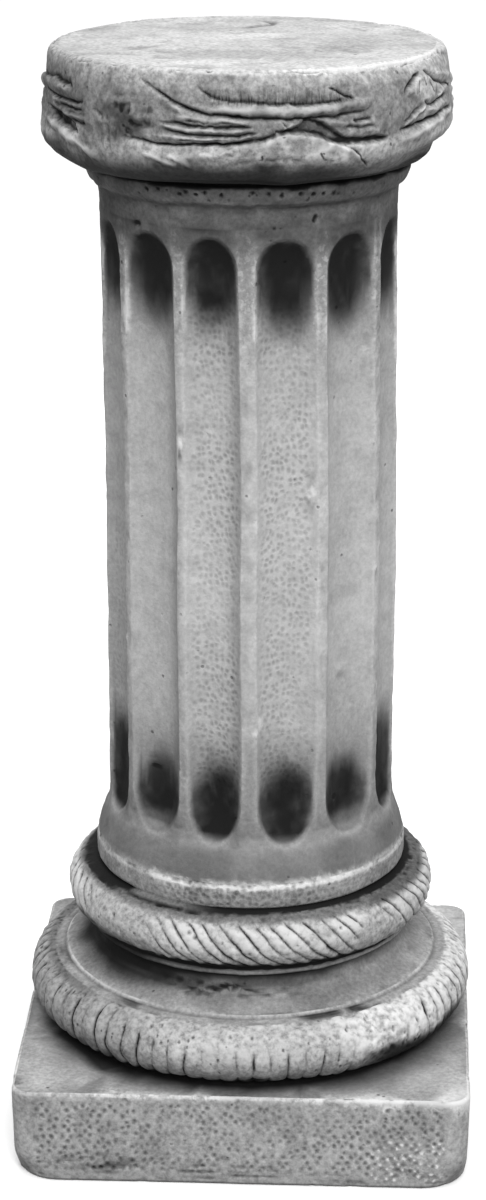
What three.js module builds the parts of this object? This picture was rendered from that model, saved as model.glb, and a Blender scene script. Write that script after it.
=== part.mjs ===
// Baroque garden column, cast in one piece from reconstituted stone.
// Millimetres, +Z up. Origin: centre of the plinth's underside. The front is -Y.
//
// From the ground up: a square rounded plinth, a lower torus with upright
// gadroons, a sharp lip and a scotia, an upper torus twisted like a rope, a
// foot ring with a flared foot, a straight shaft with round-ended flutes, a
// flared collar, and a drum-shaped capital with draped swags and a flat top.
//
// The skin is one closed surface, made of rings of points that follow the
// profile from the middle of the underside to the middle of the top.
import * as THREE from "three";

// ---- overall ---------------------------------------------------------------
const HEIGHT = 700;
const LEAN = 1.7; // the top stands this far to the left of the plinth's centre

// ---- plinth ----------------------------------------------------------------
const PLINTH_HALF = 149;
const PLINTH_TOP = 62;
const PLINTH_CORNER = 13; // radius of the upright corners
const PLINTH_FOOT_ROUND = 3;
const PLINTH_EDGE_ROUND = 3;
const CORNER_STEPS = 6;

// ---- lower torus with gadroons ----------------------------------------------
const LOW_RING = 127; // radius of the tube's centre line
const LOW_TUBE = 19.6;
const LOW_Z = 83.8;
const LOW_LOBES = 80;
const LOW_GROOVE = 2.4;
const LOW_FROM = -77;
const LOW_ROWS = [-50, -16, 18, 48, 74]; // degrees round the tube

// ---- lip and scotia -----------------------------------------------------------
const LIP_R = 122;
const LIP_Z = 104.5;
const SCOTIA_THROAT_R = 101.5;
const SCOTIA_THROAT_Z = 122;
const SCOTIA_FILLET_R = 107.2;
const SCOTIA_FILLET_Z = 130;

// ---- upper torus, twisted like a rope -------------------------------------------
const ROPE_RING = 102.3;
const ROPE_TUBE = 17.8;
const ROPE_Z = 150.2;
const ROPE_STRANDS = 66;
const ROPE_GROOVE = 1.8;
const ROPE_TWIST = 0.11; // turn about the axis for each degree round the tube
const ROPE_ROWS = [-62, -28, 4, 36, 66];

// ---- foot of the shaft --------------------------------------------------------------
const FOOT_R = 101;
const FOOT_Z0 = 169.5;
const FOOT_Z1 = 185;
const FOOT_FLARE_Z = 204.5;

// ---- shaft -----------------------------------------------------------------------------
const SHAFT_R = 92.3;
const FLUTES = 12;
const FILLET_ANGLE = 5.8; // plain strip between two flutes, degrees
const FLUTE_DEPTH = 8;
const FLUTE_BOTTOM = 208.5;
const FLUTE_TOP = 597;
const FLUTE_END = 26; // length of each scooped end
const FRONT_PITCH = 28.8; // the flutes that face front stand a little closer
const FRONT_FILLET = 1.8; // azimuth of the middle fillet at the front
const FRONT_COUNT = 6; // flutes cut at the front pitch, half on either side

// ---- neck and collar ------------------------------------------------------------------
const NECK_Z = 603;
const COLLAR_LOW_Z = 617;
const COLLAR_R = 100.5;
const COLLAR_Z0 = 625;
const COLLAR_Z1 = 629;
const UNDERCUT_R = 97.5;
const UNDERCUT_Z = 631.5;

// ---- capital ---------------------------------------------------------------------------
const CAP_UNDER_R = 111;
const CAP_UNDER_Z = 632.5;
const CAP_R = 124.4;
const CAP_RIM_R = 120.8;
const CAP_TOP_R = 116.5;
const CAP_POINTS = 88;
const SWAGS = 4;
const SWAG_AZIMUTH = 6.5; // middle of the front swag
const SWAG_ROLL_Z = 677.5; // height of its upper roll at the middle
const SWAG_RISE = 15; // how far the roll climbs to the knots
const SWAG_ROLL_HALF = 4;
const SWAG_HOLLOW = 2.6; // depth of the bare ground above the roll
const FOLD_PITCH = 6;
const FOLD_DEPTH = 1.5;
const HEM_Z = 650;
const KNOT_PROUD = 1.6;

const PLAIN_POINTS = 52; // points in a ring without carving

// ---------------------------------------------------------------------------------------------
const rad = THREE.MathUtils.degToRad;
const { smoothstep, lerp } = THREE.MathUtils;
const bell = (t) => Math.exp(-t * t);
const wrap = (a, period) => a - period * Math.round(a / period);

// A point at azimuth a (degrees, from the front towards +X), radius r, height z.
const at = (a, r, z) => {
  const lean = (-LEAN * Math.max(0, z - PLINTH_TOP)) / (HEIGHT - PLINTH_TOP);
  return { a, p: new THREE.Vector3(r * Math.sin(rad(a)) + lean, -r * Math.cos(rad(a)), z) };
};
const ring = (count, radius, height, turn = 0) =>
  Array.from({ length: count }, (_, i) => {
    const a = (360 * i) / count + turn;
    return at(a, radius(a, i), typeof height === "function" ? height(a, i) : height);
  });
const plain = (r, z) => ring(PLAIN_POINTS, () => r, z);

// ---- plinth: rounded squares, the corners in a fan of points -----------------------------------
const square = (half, corner, z) => {
  const points = [];
  for (let side = 0; side < 4; side++) {
    const turn = rad(90 * side);
    const put = (x, y) => {
      const p = new THREE.Vector3(
        x * Math.cos(turn) - y * Math.sin(turn),
        x * Math.sin(turn) + y * Math.cos(turn),
        z,
      );
      points.push({ a: THREE.MathUtils.radToDeg(Math.atan2(p.x, -p.y)), p });
    };
    put(0, -half);
    put(half * 0.5, -half);
    for (let k = 0; k <= CORNER_STEPS; k++) {
      const t = rad(-90 + (90 * k) / CORNER_STEPS);
      put(half - corner + corner * Math.cos(t), -half + corner + corner * Math.sin(t));
    }
    put(half, -half * 0.5);
  }
  return points;
};
const plinth = () => [
  square(PLINTH_HALF - PLINTH_FOOT_ROUND, PLINTH_CORNER - 2, 0),
  square(PLINTH_HALF - 0.35 * PLINTH_FOOT_ROUND, PLINTH_CORNER, 0.3 * PLINTH_FOOT_ROUND),
  square(PLINTH_HALF - 0.8, PLINTH_CORNER, PLINTH_FOOT_ROUND * 1.1),
  square(PLINTH_HALF, PLINTH_CORNER, PLINTH_TOP - PLINTH_EDGE_ROUND),
  square(PLINTH_HALF - 0.3 * PLINTH_EDGE_ROUND, PLINTH_CORNER, PLINTH_TOP - 0.3 * PLINTH_EDGE_ROUND),
  square(PLINTH_HALF - PLINTH_EDGE_ROUND, PLINTH_CORNER, PLINTH_TOP),
];

// ---- tori: crest and groove by turns, the grooves shallower towards the ends ---------------------
const lobed = (count, big, tube, z, groove, t, turn) => {
  const depth = groove * (0.35 + 0.65 * Math.cos(rad(t)));
  return ring(
    2 * count,
    (a, i) => big + (tube - (i % 2 ? 0 : depth)) * Math.cos(rad(t)),
    (a, i) => z + (tube - (i % 2 ? 0 : depth)) * Math.sin(rad(t)),
    turn,
  );
};
const lowerTorus = () => [
  ring(LOW_LOBES, () => LOW_RING + LOW_TUBE * Math.cos(rad(LOW_FROM)), PLINTH_TOP),
  ...LOW_ROWS.map((t) => lobed(LOW_LOBES, LOW_RING, LOW_TUBE, LOW_Z, LOW_GROOVE, t, 0)),
];
const scotia = () => [
  plain(LIP_R, LIP_Z - 1),
  plain(LIP_R, LIP_Z + 0.8),
  plain(LIP_R - 4, LIP_Z + 2.6),
  plain(LIP_R - 13, LIP_Z + 6.5),
  plain(SCOTIA_THROAT_R + 2, SCOTIA_THROAT_Z - 5.5),
  plain(SCOTIA_THROAT_R, SCOTIA_THROAT_Z),
  plain(SCOTIA_FILLET_R, SCOTIA_FILLET_Z - 3),
  plain(SCOTIA_FILLET_R, SCOTIA_FILLET_Z),
];
const upperTorus = () =>
  ROPE_ROWS.map((t) =>
    lobed(ROPE_STRANDS, ROPE_RING, ROPE_TUBE, ROPE_Z, ROPE_GROOVE, t, -ROPE_TWIST * t),
  );
const foot = () => [
  plain(FOOT_R - 1.2, FOOT_Z0),
  plain(FOOT_R, FOOT_Z0 + 2),
  plain(FOOT_R, FOOT_Z1),
  plain(FOOT_R - 0.6, FOOT_Z1 + 4),
  plain(FOOT_R - 3.2, FOOT_Z1 + 12.5),
  plain(SHAFT_R + 0.8, FOOT_FLARE_Z),
];

// ---- shaft: where the flutes' fillets stand, and the depth of the flutes ---------------------------
const fillets = Array.from({ length: FLUTES }, (_, k) => {
  const half = FRONT_COUNT / 2;
  const back = (360 - FRONT_COUNT * FRONT_PITCH) / (FLUTES - FRONT_COUNT);
  return FRONT_FILLET + FRONT_PITCH * Math.min(k, half)
    + back * Math.min(Math.max(0, k - half), FLUTES - FRONT_COUNT)
    + FRONT_PITCH * Math.max(0, k - half - (FLUTES - FRONT_COUNT));
});
const ACROSS = [-1, -0.66, -0.23, 0.23, 0.66, 1]; // stations across one flute
const shaftRing = (z, share) =>
  fillets.flatMap((start, k) => {
    const end = k + 1 < FLUTES ? fillets[k + 1] : fillets[0] + 360;
    const half = (end - start - FILLET_ANGLE) / 2;
    return ACROSS.map((s) =>
      at((start + end) / 2 + s * half, SHAFT_R - FLUTE_DEPTH * Math.max(0, share - s * s * share), z),
    );
  });
const scoop = (t) => Math.sqrt(1 - (1 - t) * (1 - t)); // 0 at a flute's end, 1 at full depth
const shaft = () => {
  const ends = [0, 0.12, 0.45, 1];
  return [
    ...ends.map((t) => shaftRing(FLUTE_BOTTOM + FLUTE_END * t, scoop(t))),
    shaftRing((FLUTE_BOTTOM + FLUTE_TOP) / 2, 1),
    ...[...ends].reverse().map((t) => shaftRing(FLUTE_TOP - FLUTE_END * t, scoop(t))),
  ];
};
const collar = () => [
  plain(SHAFT_R, NECK_Z),
  plain(SHAFT_R + 1, COLLAR_LOW_Z - 3.5),
  plain(SHAFT_R + 3.4, COLLAR_LOW_Z),
  plain(COLLAR_R - 1.3, COLLAR_LOW_Z + 5.5),
  plain(COLLAR_R, COLLAR_Z0),
  plain(COLLAR_R, COLLAR_Z1),
  plain(UNDERCUT_R, UNDERCUT_Z),
];

// ---- capital: a drum that bellies out, with swags hung between knots ---------------------------------
const drum = (z) => {
  const t = (z - CAP_UNDER_Z) / (HEIGHT - CAP_UNDER_Z);
  const belly = CAP_UNDER_R + (CAP_R - CAP_UNDER_R) * Math.sin(Math.min(1, t / 0.3) * (Math.PI / 2));
  return lerp(belly, CAP_RIM_R, smoothstep(t, 0.55, 1));
};
const relief = (a, z) => {
  const u = wrap(a - SWAG_AZIMUTH, 360 / SWAGS) / (180 / SWAGS); // -1 and 1 at the knots
  const roll = SWAG_ROLL_Z + SWAG_RISE * Math.abs(u) ** 2.4;
  const below = roll - z;
  const knot = bell((1 - Math.abs(u)) / 0.16);
  let h = -SWAG_HOLLOW * smoothstep(-below, 0.6 * SWAG_ROLL_HALF, 1.6 * SWAG_ROLL_HALF) * (1 - knot)
    * (1 - smoothstep(z, HEIGHT - 12, HEIGHT - 3));
  const folds = smoothstep(below, SWAG_ROLL_HALF, SWAG_ROLL_HALF + 2) * smoothstep(z, HEM_Z + 3, HEM_Z + 8);
  h -= FOLD_DEPTH * folds * (0.5 + 0.5 * Math.cos((2 * Math.PI * (below - SWAG_ROLL_HALF)) / FOLD_PITCH)) * (1 - knot);
  h -= 1.2 * folds * (1 - knot);
  h += KNOT_PROUD * knot * bell((z - SWAG_ROLL_Z) / 16);
  return h;
};
const capital = () => {
  const rows = [
    CAP_UNDER_Z, CAP_UNDER_Z + 4, 642, HEM_Z - 1, HEM_Z + 5, 659, 663.5, 668, 673,
    SWAG_ROLL_Z, 682.5, 689, 696.5,
  ];
  return [
    ...rows.map((z) => ring(CAP_POINTS, (a) => drum(z) + relief(a, z), z)),
    ring(CAP_POINTS, () => CAP_RIM_R - 1.3, HEIGHT - 1),
    ring(CAP_POINTS, () => CAP_TOP_R, HEIGHT),
  ];
};

// ---- skin: stitch each ring to the next, close the underside and the top ----------------------------------
const column = () => {
  const rings = [
    ...plinth(), ...lowerTorus(), ...scotia(), ...upperTorus(), ...foot(), ...shaft(), ...collar(), ...capital(),
  ];
  const position = [];
  const index = [];
  const add = (p) => position.push(p.x, p.y, p.z) / 3 - 1;
  const laid = rings.map((points) => points.map(({ a, p }) => ({ a, i: add(p) })));

  const fromZero = (points) => {
    const turned = points.map(({ a, i }) => ({ a: ((a % 360) + 360) % 360, i }));
    const first = turned.reduce((m, q, k) => (q.a < turned[m].a ? k : m), 0);
    return [...turned.slice(first), ...turned.slice(0, first)];
  };
  const even = (A, B) => {
    for (let k = 0; k < A.length; k++) {
      const n = (k + 1) % A.length;
      index.push(A[k].i, A[n].i, B[n].i, A[k].i, B[n].i, B[k].i);
    }
  };
  const zip = (A, B) => {
    const angle = (R, k) => R[k % R.length].a + 360 * Math.floor(k / R.length);
    let j = 0;
    let k = 0;
    while (j < A.length || k < B.length) {
      const a = A[j % A.length].i;
      const b = B[k % B.length].i;
      if (k >= B.length || (j < A.length && angle(A, j + 1) <= angle(B, k + 1))) {
        index.push(a, A[(j + 1) % A.length].i, b);
        j++;
      } else {
        index.push(a, B[(k + 1) % B.length].i, b);
        k++;
      }
    }
  };
  for (let k = 0; k + 1 < laid.length; k++) {
    const [A, B] = [laid[k], laid[k + 1]];
    if (A.length === B.length) even(A, B);
    else zip(fromZero(A), fromZero(B));
  }
  const under = add(new THREE.Vector3(0, 0, 0));
  const over = add(new THREE.Vector3(-LEAN, 0, HEIGHT));
  const [low, high] = [laid[0], laid[laid.length - 1]];
  low.forEach((q, k) => index.push(under, low[(k + 1) % low.length].i, q.i));
  high.forEach((q, k) => index.push(q.i, high[(k + 1) % high.length].i, over));

  const geometry = new THREE.BufferGeometry();
  geometry.setAttribute("position", new THREE.Float32BufferAttribute(position, 3));
  geometry.setIndex(index);
  geometry.computeVertexNormals();
  return geometry;
};

const stone = new THREE.MeshStandardMaterial({ color: 0xa6a6a4, roughness: 0.9, metalness: 0, flatShading: true });
const mesh = new THREE.Mesh(column(), stone);
mesh.name = "column";

const model = new THREE.Group();
model.name = "baroque_garden_column";
model.add(mesh);
export default model;
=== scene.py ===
import math

import bpy
import numpy as np
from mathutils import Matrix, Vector


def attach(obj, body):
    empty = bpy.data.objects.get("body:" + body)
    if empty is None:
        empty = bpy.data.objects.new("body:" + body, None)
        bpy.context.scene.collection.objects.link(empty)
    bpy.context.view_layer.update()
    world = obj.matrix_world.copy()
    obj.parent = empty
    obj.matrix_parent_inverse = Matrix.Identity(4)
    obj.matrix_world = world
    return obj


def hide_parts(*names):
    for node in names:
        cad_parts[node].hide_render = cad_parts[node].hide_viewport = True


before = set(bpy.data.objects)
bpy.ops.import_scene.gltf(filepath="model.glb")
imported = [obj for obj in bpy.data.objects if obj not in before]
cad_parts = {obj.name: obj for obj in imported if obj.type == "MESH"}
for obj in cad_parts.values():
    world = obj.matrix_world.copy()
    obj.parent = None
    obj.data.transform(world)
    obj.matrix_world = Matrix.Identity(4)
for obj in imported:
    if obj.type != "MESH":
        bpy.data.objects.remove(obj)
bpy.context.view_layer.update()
scene = bpy.context.scene

# =============================================================================
# Sizes, in millimetres. Azimuths are in degrees from the viewer, + to the right.
# =============================================================================
VIEW = 2.556  # the viewer stands this far round from the plinth's front
HEIGHT = 700.0
LEAN = 1.7
PLINTH_HALF = 149.0
PLINTH_TOP = 62.0
TRIANGLES = 196000

RAD = math.pi / 180.0
rng = np.random.default_rng(20417)

# =============================================================================
# Camera
# =============================================================================
CAM_DISTANCE = 2.579 * HEIGHT / 1000
CAM_HEIGHT = 1.3637 * HEIGHT / 1000
CAM_PITCH = 18.7475 * RAD
CAM_YAW = 0.1372 * RAD


def turned(x, y, z):
    c, s = math.cos(VIEW * RAD), math.sin(VIEW * RAD)
    return Vector((c * x - s * y, s * x + c * y, z))


cam_data = bpy.data.cameras.new("camera")
cam_data.sensor_width = 36.0
cam_data.lens = 36.0 * 2954.7 / 1200.0
cam = bpy.data.objects.new("camera", cam_data)
scene.collection.objects.link(cam)
cam.location = turned(0, -CAM_DISTANCE, CAM_HEIGHT)
forward = turned(
    -math.sin(CAM_YAW) * math.cos(CAM_PITCH),
    math.cos(CAM_YAW) * math.cos(CAM_PITCH),
    -math.sin(CAM_PITCH),
)
cam.rotation_mode = "QUATERNION"
cam.rotation_quaternion = forward.to_track_quat("-Z", "Y")
cam_data.clip_start, cam_data.clip_end = 0.05, 100
scene.camera = cam


# =============================================================================
# Small tools
# =============================================================================
def smooth(x, a, b):
    t = np.clip((x - a) / (b - a), 0.0, 1.0)
    return t * t * (3.0 - 2.0 * t)


def bell(x):
    return np.exp(-x * x)


def wrapped(a):
    return (a + 180.0) % 360.0 - 180.0


def hashed(ix, iy, iz, seed):
    h = (
        ix.astype(np.uint32) * np.uint32(374761393)
        + iy.astype(np.uint32) * np.uint32(668265263)
        + iz.astype(np.uint32) * np.uint32(2246822519)
        + np.uint32((seed * 3266489917) & 0xFFFFFFFF)
    )
    h = (h ^ (h >> np.uint32(15))) * np.uint32(2246822519)
    h = (h ^ (h >> np.uint32(13))) * np.uint32(3266489917)
    h = h ^ (h >> np.uint32(16))
    return h.astype(np.float32) / np.float32(2147483648.0) - np.float32(1.0)


def noise3(x, y, z, size, seed):
    """Smooth noise from -1 to 1 with features about `size` millimetres wide."""
    qx, qy, qz = x / size, y / size, z / size
    ix, iy, iz = np.floor(qx), np.floor(qy), np.floor(qz)
    fx, fy, fz = qx - ix, qy - iy, qz - iz
    ix, iy, iz = (v.astype(np.int64) for v in (ix, iy, iz))
    fx, fy, fz = (f * f * f * (f * (f * 6 - 15) + 10) for f in (fx, fy, fz))
    out = 0.0
    for dx in (0, 1):
        wx = fx if dx else 1 - fx
        for dy in (0, 1):
            wy = fy if dy else 1 - fy
            for dz in (0, 1):
                wz = fz if dz else 1 - fz
                out = out + hashed(ix + dx, iy + dy, iz + dz, seed) * wx * wy * wz
    return out


# =============================================================================
# Profile above the plinth: radius and height, from the ground up
# =============================================================================
LOW_RING, LOW_TUBE, LOW_Z = 127.0, 19.6, 83.8
ROPE_RING, ROPE_TUBE, ROPE_Z = 102.3, 17.8, 150.2
SHAFT_R = 92.3


def arc(ring, z, tube, t0, t1, steps=60):
    t = np.linspace(t0, t1, steps) * RAD
    return np.stack([ring + tube * np.cos(t), z + tube * np.sin(t)], 1)


def pts(*p):
    return np.array(p, float)


# zone name, points, spacing of the rows
PROFILE = [
    ("low", np.vstack([[(131.2, 62.0)], arc(LOW_RING, LOW_Z, LOW_TUBE, -74, 80)]), 0.95),
    (
        "lip",
        pts((128.9, 103.2), (126.4, 103.9), (124.6, 103.9), (123.4, 103.8), (122.8, 104.5), (122.3, 105.8), (121.2, 106.5)),
        0.7,
    ),
    (
        "scotia",
        pts(
            (121.4, 106.2), (118.5, 107.3), (114.5, 108.9), (110.0, 110.9), (106.0, 113.7),
            (103.2, 117.4), (101.8, 121.4), (101.9, 123.9), (103.4, 125.7), (106.3, 126.3),
            (107.4, 127.2), (107.4, 130.2), (106.0, 131.2), (106.4, 132.6),
        ),
        0.95,
    ),
    ("rope", arc(ROPE_RING, ROPE_Z, ROPE_TUBE, -74, 80), 0.95),
    (
        "ring",
        pts(
            (103.6, 168.3), (100.6, 168.5), (98.6, 168.3), (97.8, 168.9), (98.4, 170.0),
            (100.6, 170.4), (101.3, 171.6), (101.5, 177.0), (101.4, 183.4), (100.9, 185.2), (100.3, 186.2),
        ),
        0.8,
    ),
    (
        "flare",
        pts(
            (100.3, 186.2), (99.9, 188.5), (99.2, 191.5), (98.2, 195.0), (96.8, 199.0),
            (95.2, 202.8), (94.0, 206.2), (93.2, 209.4), (92.7, 212.6), (92.45, 216.0),
        ),
        1.1,
    ),
    ("shaft", pts((92.4, 216.6), (92.3, 262.0)), 1.15),
    ("shaft", pts((92.3, 262.0), (92.5, 340.0), (92.3, 420.0), (92.0, 500.0), (91.9, 545.0)), 4.0),
    ("shaft", pts((91.9, 545.0), (91.8, 603.0)), 1.15),
    (
        "collar",
        pts(
            (91.8, 603.0), (91.9, 608.0), (92.3, 612.5), (93.2, 615.4), (94.8, 617.0), (96.6, 617.9),
            (97.9, 619.4), (99.0, 621.4), (100.0, 623.6), (100.6, 625.8), (100.6, 628.0), (99.6, 629.4),
            (97.8, 629.9), (97.0, 630.6), (97.4, 631.4), (99.5, 631.8),
        ),
        0.8,
    ),
    (
        "capital",
        pts(
            (99.5, 631.8), (103.5, 631.9), (108.0, 632.4), (112.5, 633.8), (116.0, 635.9), (118.9, 638.5),
            (121.4, 641.5), (123.2, 645.5), (124.2, 650.0), (124.6, 655.0), (124.5, 660.0), (124.6, 665.0),
            (124.2, 671.0), (123.6, 677.0), (122.8, 683.0), (122.0, 689.0), (121.2, 694.0), (120.4, 697.2),
            (119.2, 699.0), (117.2, 699.8), (114.0, 700.0),
        ),
        0.75,
    ),
    ("top", pts((114.0, 700.0), (3.0, 700.0)), 1.7),
]


def resample(points, step):
    d = np.r_[0, np.cumsum(np.hypot(*np.diff(points, axis=0).T))]
    n = max(2, int(round(d[-1] / step)))
    at = np.linspace(0, d[-1], n + 1)[:-1]
    return np.stack([np.interp(at, d, points[:, k]) for k in (0, 1)], 1)


rows, zones = [], []
for name, points, step in PROFILE:
    part = resample(points, step)
    rows.append(part)
    zones += [name] * len(part)
rows = np.concatenate(rows)
zones = np.array(zones)
for _ in range(2):  # ease the corners, as a worn mould does
    inner = 0.25 * rows[:-2] + 0.5 * rows[1:-1] + 0.25 * rows[2:]
    keep = (zones[1:-1] != "top") & (zones[1:-1] != "shaft")
    rows[1:-1][keep] = inner[keep]
base_r, base_z = rows[:, 0], rows[:, 1]
tangent = np.gradient(rows, axis=0)
tangent /= np.linalg.norm(tangent, axis=1, keepdims=True) + 1e-9
norm_r, norm_z = tangent[:, 1], -tangent[:, 0]
run = np.r_[0, np.cumsum(np.hypot(np.diff(base_r), np.diff(base_z)))]

# finest towards the viewer, and the seam at the back
az = np.concatenate([np.arange(-180, -75, 0.5), np.arange(-75, 75, 0.25), np.arange(75, 180, 0.5)])
COLUMNS = len(az)
A = np.broadcast_to(az, (len(rows), COLUMNS))
R0 = np.broadcast_to(base_r[:, None], A.shape)
Z0 = np.broadcast_to(base_z[:, None], A.shape)


def folded(a):
    """Azimuth for the weathering: the back repeats the front, turned about, without a break."""
    return np.interp(np.asarray(a) % 360.0, [0, 92, 120, 250, 268, 360], [0, 92, 68, -62, -92, 0])


M = folded(A)
phi = (az + VIEW) * RAD
X0, Y0 = R0 * np.sin(phi), -R0 * np.cos(phi)

relief = np.zeros(A.shape)
dark = np.zeros(A.shape)  # black patina, and painted shade under, between and to the left of the mouldings
pale = np.zeros(A.shape)  # rubbed high spots, and painted highlights on the lip's edge and on the capital's right side
pits = np.zeros(A.shape)  # casting pits
hatch = np.zeros(A.shape)  # upright tool marks
fleck = np.zeros(A.shape)  # specks of pale paint
lift = np.zeros(A.shape)  # painted light: the shaft lighter at mid height, towards the viewer and to the right
GRIT_OF = {"low": 1.0, "lip": 0.6, "scotia": 0.55, "rope": 0.9, "ring": 0.9, "flare": 0.2, "shaft": 0.22, "collar": 0.7, "capital": 1.0, "top": 0.5}
grit = np.array([GRIT_OF[n] for n in zones])[:, None] * np.ones(A.shape)


def zone(*names):
    return np.isin(zones, names)


def noisy(size, seed, sel):
    return noise3(X0[sel], Y0[sel], Z0[sel], size, seed)


# =============================================================================
# Lower torus: upright gadroons, uneven and worn
# =============================================================================
SEEN_GROOVES = [
    (-86, 0.6), (-81.5, 0.7), (-77, 0.6), (-72.5, 0.7), (-68, 0.8), (-63, 0.6), (-58, 0.8), (-53, 1.3),
    (-48.5, 0.5), (-43.6, 1.2), (-39.3, 0.9), (-34.6, 1.0), (-30.4, 1.2), (-25.8, 1.1), (-21.4, 0.9),
    (-17, 1.0), (-12.3, 0.5), (-8, 0.7), (-3.6, 0.6), (0.8, 1.1), (5, 0.8), (9.7, 1.1), (14, 0.7),
    (18.6, 0.9), (22.6, 0.6), (26.6, 0.7), (31.4, 0.3), (36, 0.2), (40, 0.35), (43.8, 0.9), (48, 0.5),
    (52.4, 1.2), (56.5, 0.7), (60, 1.0), (64.4, 0.8), (69, 0.9), (73.5, 0.8), (78, 0.8), (82.5, 0.8), (86.5, 0.8),
]
hidden = np.linspace(86.5, 274, 43)[1:-1]
grooves = np.array(
    SEEN_GROOVES + [(a + rng.uniform(-0.5, 0.5), rng.uniform(0.5, 1.1)) for a in hidden]
)
grooves[:, 0] = wrapped(grooves[:, 0])
grooves = grooves[np.argsort(grooves[:, 0])]


def lobes(a, where, strength, power):
    """Rounded lobes between grooves: 0 in a groove, 1 on a crest, and the strength there."""
    g = np.r_[where[-1] - 360, where, where[0] + 360]
    s = np.r_[strength[-1], strength, strength[0]]
    k = np.clip(np.searchsorted(g, a, side="right") - 1, 0, len(g) - 2)
    u = np.clip((a - g[k]) / (g[k + 1] - g[k]), 0, 1)
    near = np.where(u < 0.5, s[k], s[k + 1])
    mid = 0.5 * (s[k] + s[k + 1])
    return (4 * u * (1 - u)) ** power, near + (mid - near) * smooth(np.abs(u - 0.5), 0.5, 0.1)


def dent(h, a, z, spots, radius):
    """Small round holes (depth > 0) or beads (depth < 0) at azimuth, height, size, depth."""
    for ca, cz, size, d in spots:
        d2 = (wrapped(a - ca) * RAD * radius) ** 2 + (z - cz) ** 2
        h -= d * np.exp(-d2 / size**2)


sel = zone("low")
t_low = np.degrees(np.arctan2(Z0[sel] - LOW_Z, R0[sel] - LOW_RING))
a, true_a = M[sel], A[sel]
wander = 0.8 * noisy(30, 3, sel) + 0.45 * noisy(9, 4, sel)
left = smooth(a, -20, -40)
crest, strength = lobes(wrapped(true_a + wander), grooves[:, 0], grooves[:, 1], 0.55 + 0.25 * left)
limit = 20 + 42 * left + 34 * smooth(a, 42, 56) + 9 * noisy(20, 10, sel)  # how far up the grooves reach
worn = smooth(t_low, limit + 16, limit - 16)
worn *= 1 - 0.85 * bell((a - 35) / 8.5)
worn *= np.clip(0.8 + 0.55 * noisy(12, 17, sel), 0.15, 1.2)
depth = 1.5 + 1.5 * left + 1.9 * smooth(t_low, -20, -62)
h = -(1 - crest) * depth * strength * worn
rough = 0.4 + 0.35 * smooth(t_low, 0, 45) + 0.65 * bell((a - 33) / 14)
rough += 0.3 * bell((a - 48) / 16)
rough *= 0.3 + 0.7 * smooth(t_low, -45, -5)
h += rough * (0.8 * noisy(8.5, 5, sel) + 0.6 * noisy(4.0, 6, sel) + 0.25 * noisy(2.4, 77, sel))
h += 0.6 * noisy(26, 7, sel)
h -= 1.8 * smooth(noisy(13, 8, sel), 0.2, 0.75) * smooth(t_low, -28, -60)
low_holes = [(rng.uniform(-180, 180), rng.uniform(76, 102), rng.uniform(0.6, 1.1), rng.uniform(0.4, 1.0)) for _ in range(150)]
dent(h, true_a, Z0[sel], low_holes, 140.0)
relief[sel] = h
# Painted shade with black patina: dark in the grooves, on the underside, to the left, and at the top on the left under
# the lip
low_gap = (1 - crest) ** 1.4 * strength * worn
drag = smooth(noise3(a * 2.4, 0 * a, t_low * 0.03, 3.0, 87), -0.1, 0.6) * smooth(t_low, 2, -42)
dark[sel] = np.maximum.reduce([0.74 * low_gap, 0.5 * drag, smooth(t_low + 5 * noisy(7, 18, sel), -36, -60)])
edge = 12 * noisy(16, 9, sel)
right_shadow = smooth(a, 22, 40) * smooth(a, 92, 62)
dark[sel] = np.maximum(dark[sel], 0.9 * right_shadow * smooth(t_low + edge, 4, -24))
dark[sel] = np.maximum(dark[sel], 0.16 * left + 0.16 * smooth(a, 34, 18) + 0.3 * smooth(t_low, 10, -40) * smooth(noisy(9, 88, sel), -0.5, 0.6))
dark[sel] = np.maximum(dark[sel], 0.55 * smooth(a, -38, -55) * smooth(t_low, 48, 72))
fleck[sel] = 0.4 * smooth(t_low, -25, 20) * (0.5 + 0.5 * smooth(a, -30, 10))
pale[sel] = (0.3 + 0.4 * crest * (1 - 0.35 * left) + 0.08 * smooth(a, 34, 46)) * smooth(t_low, -40, 20) * np.clip(0.9 + 0.5 * noisy(18, 19, sel), 0, 1.3)

# lip and scotia
sel = zone("lip")
a = M[sel]
relief[sel] = 0.35 * noisy(7, 11, sel) + 0.3 * noisy(20, 12, sel)
# painted shadow line under the lip, broken in places
under_lip = bell((Z0[sel] - 103.7) / 0.5)
dark[sel] = 0.15 + 0.65 * under_lip * np.clip(
    np.clip(1.1 * noisy(14, 13, sel) - 0.1, 0, 1) * smooth(a, 12, 2) + smooth(a, 13, 17) * smooth(a, 28, 26) + smooth(a, 29, 30) * smooth(a, 36, 34) + 0.8 * smooth(a, -42, -40) * smooth(a, -33, -35), 0, 1.25)
# painted highlight along the lip's upper edge, brighter to the left and right
pale[sel] = smooth(Z0[sel], 103.9, 104.9) * (0.4 + 0.5 * smooth(a, -25, -50) + 0.3 * smooth(a, 45, 60)) * np.clip(0.6 + 0.9 * noisy(11, 119, sel), 0, 1.2)
sel = zone("scotia")
a, z = M[sel], Z0[sel]
rough = bell((a + 18) / 13) * smooth(z, 109.5, 113) * smooth(z, 122, 117)
relief[sel] = 0.45 * noisy(22, 14, sel) + 0.2 * noisy(7, 20, sel) + rough * 0.8 * noisy(4.5, 15, sel)
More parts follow.
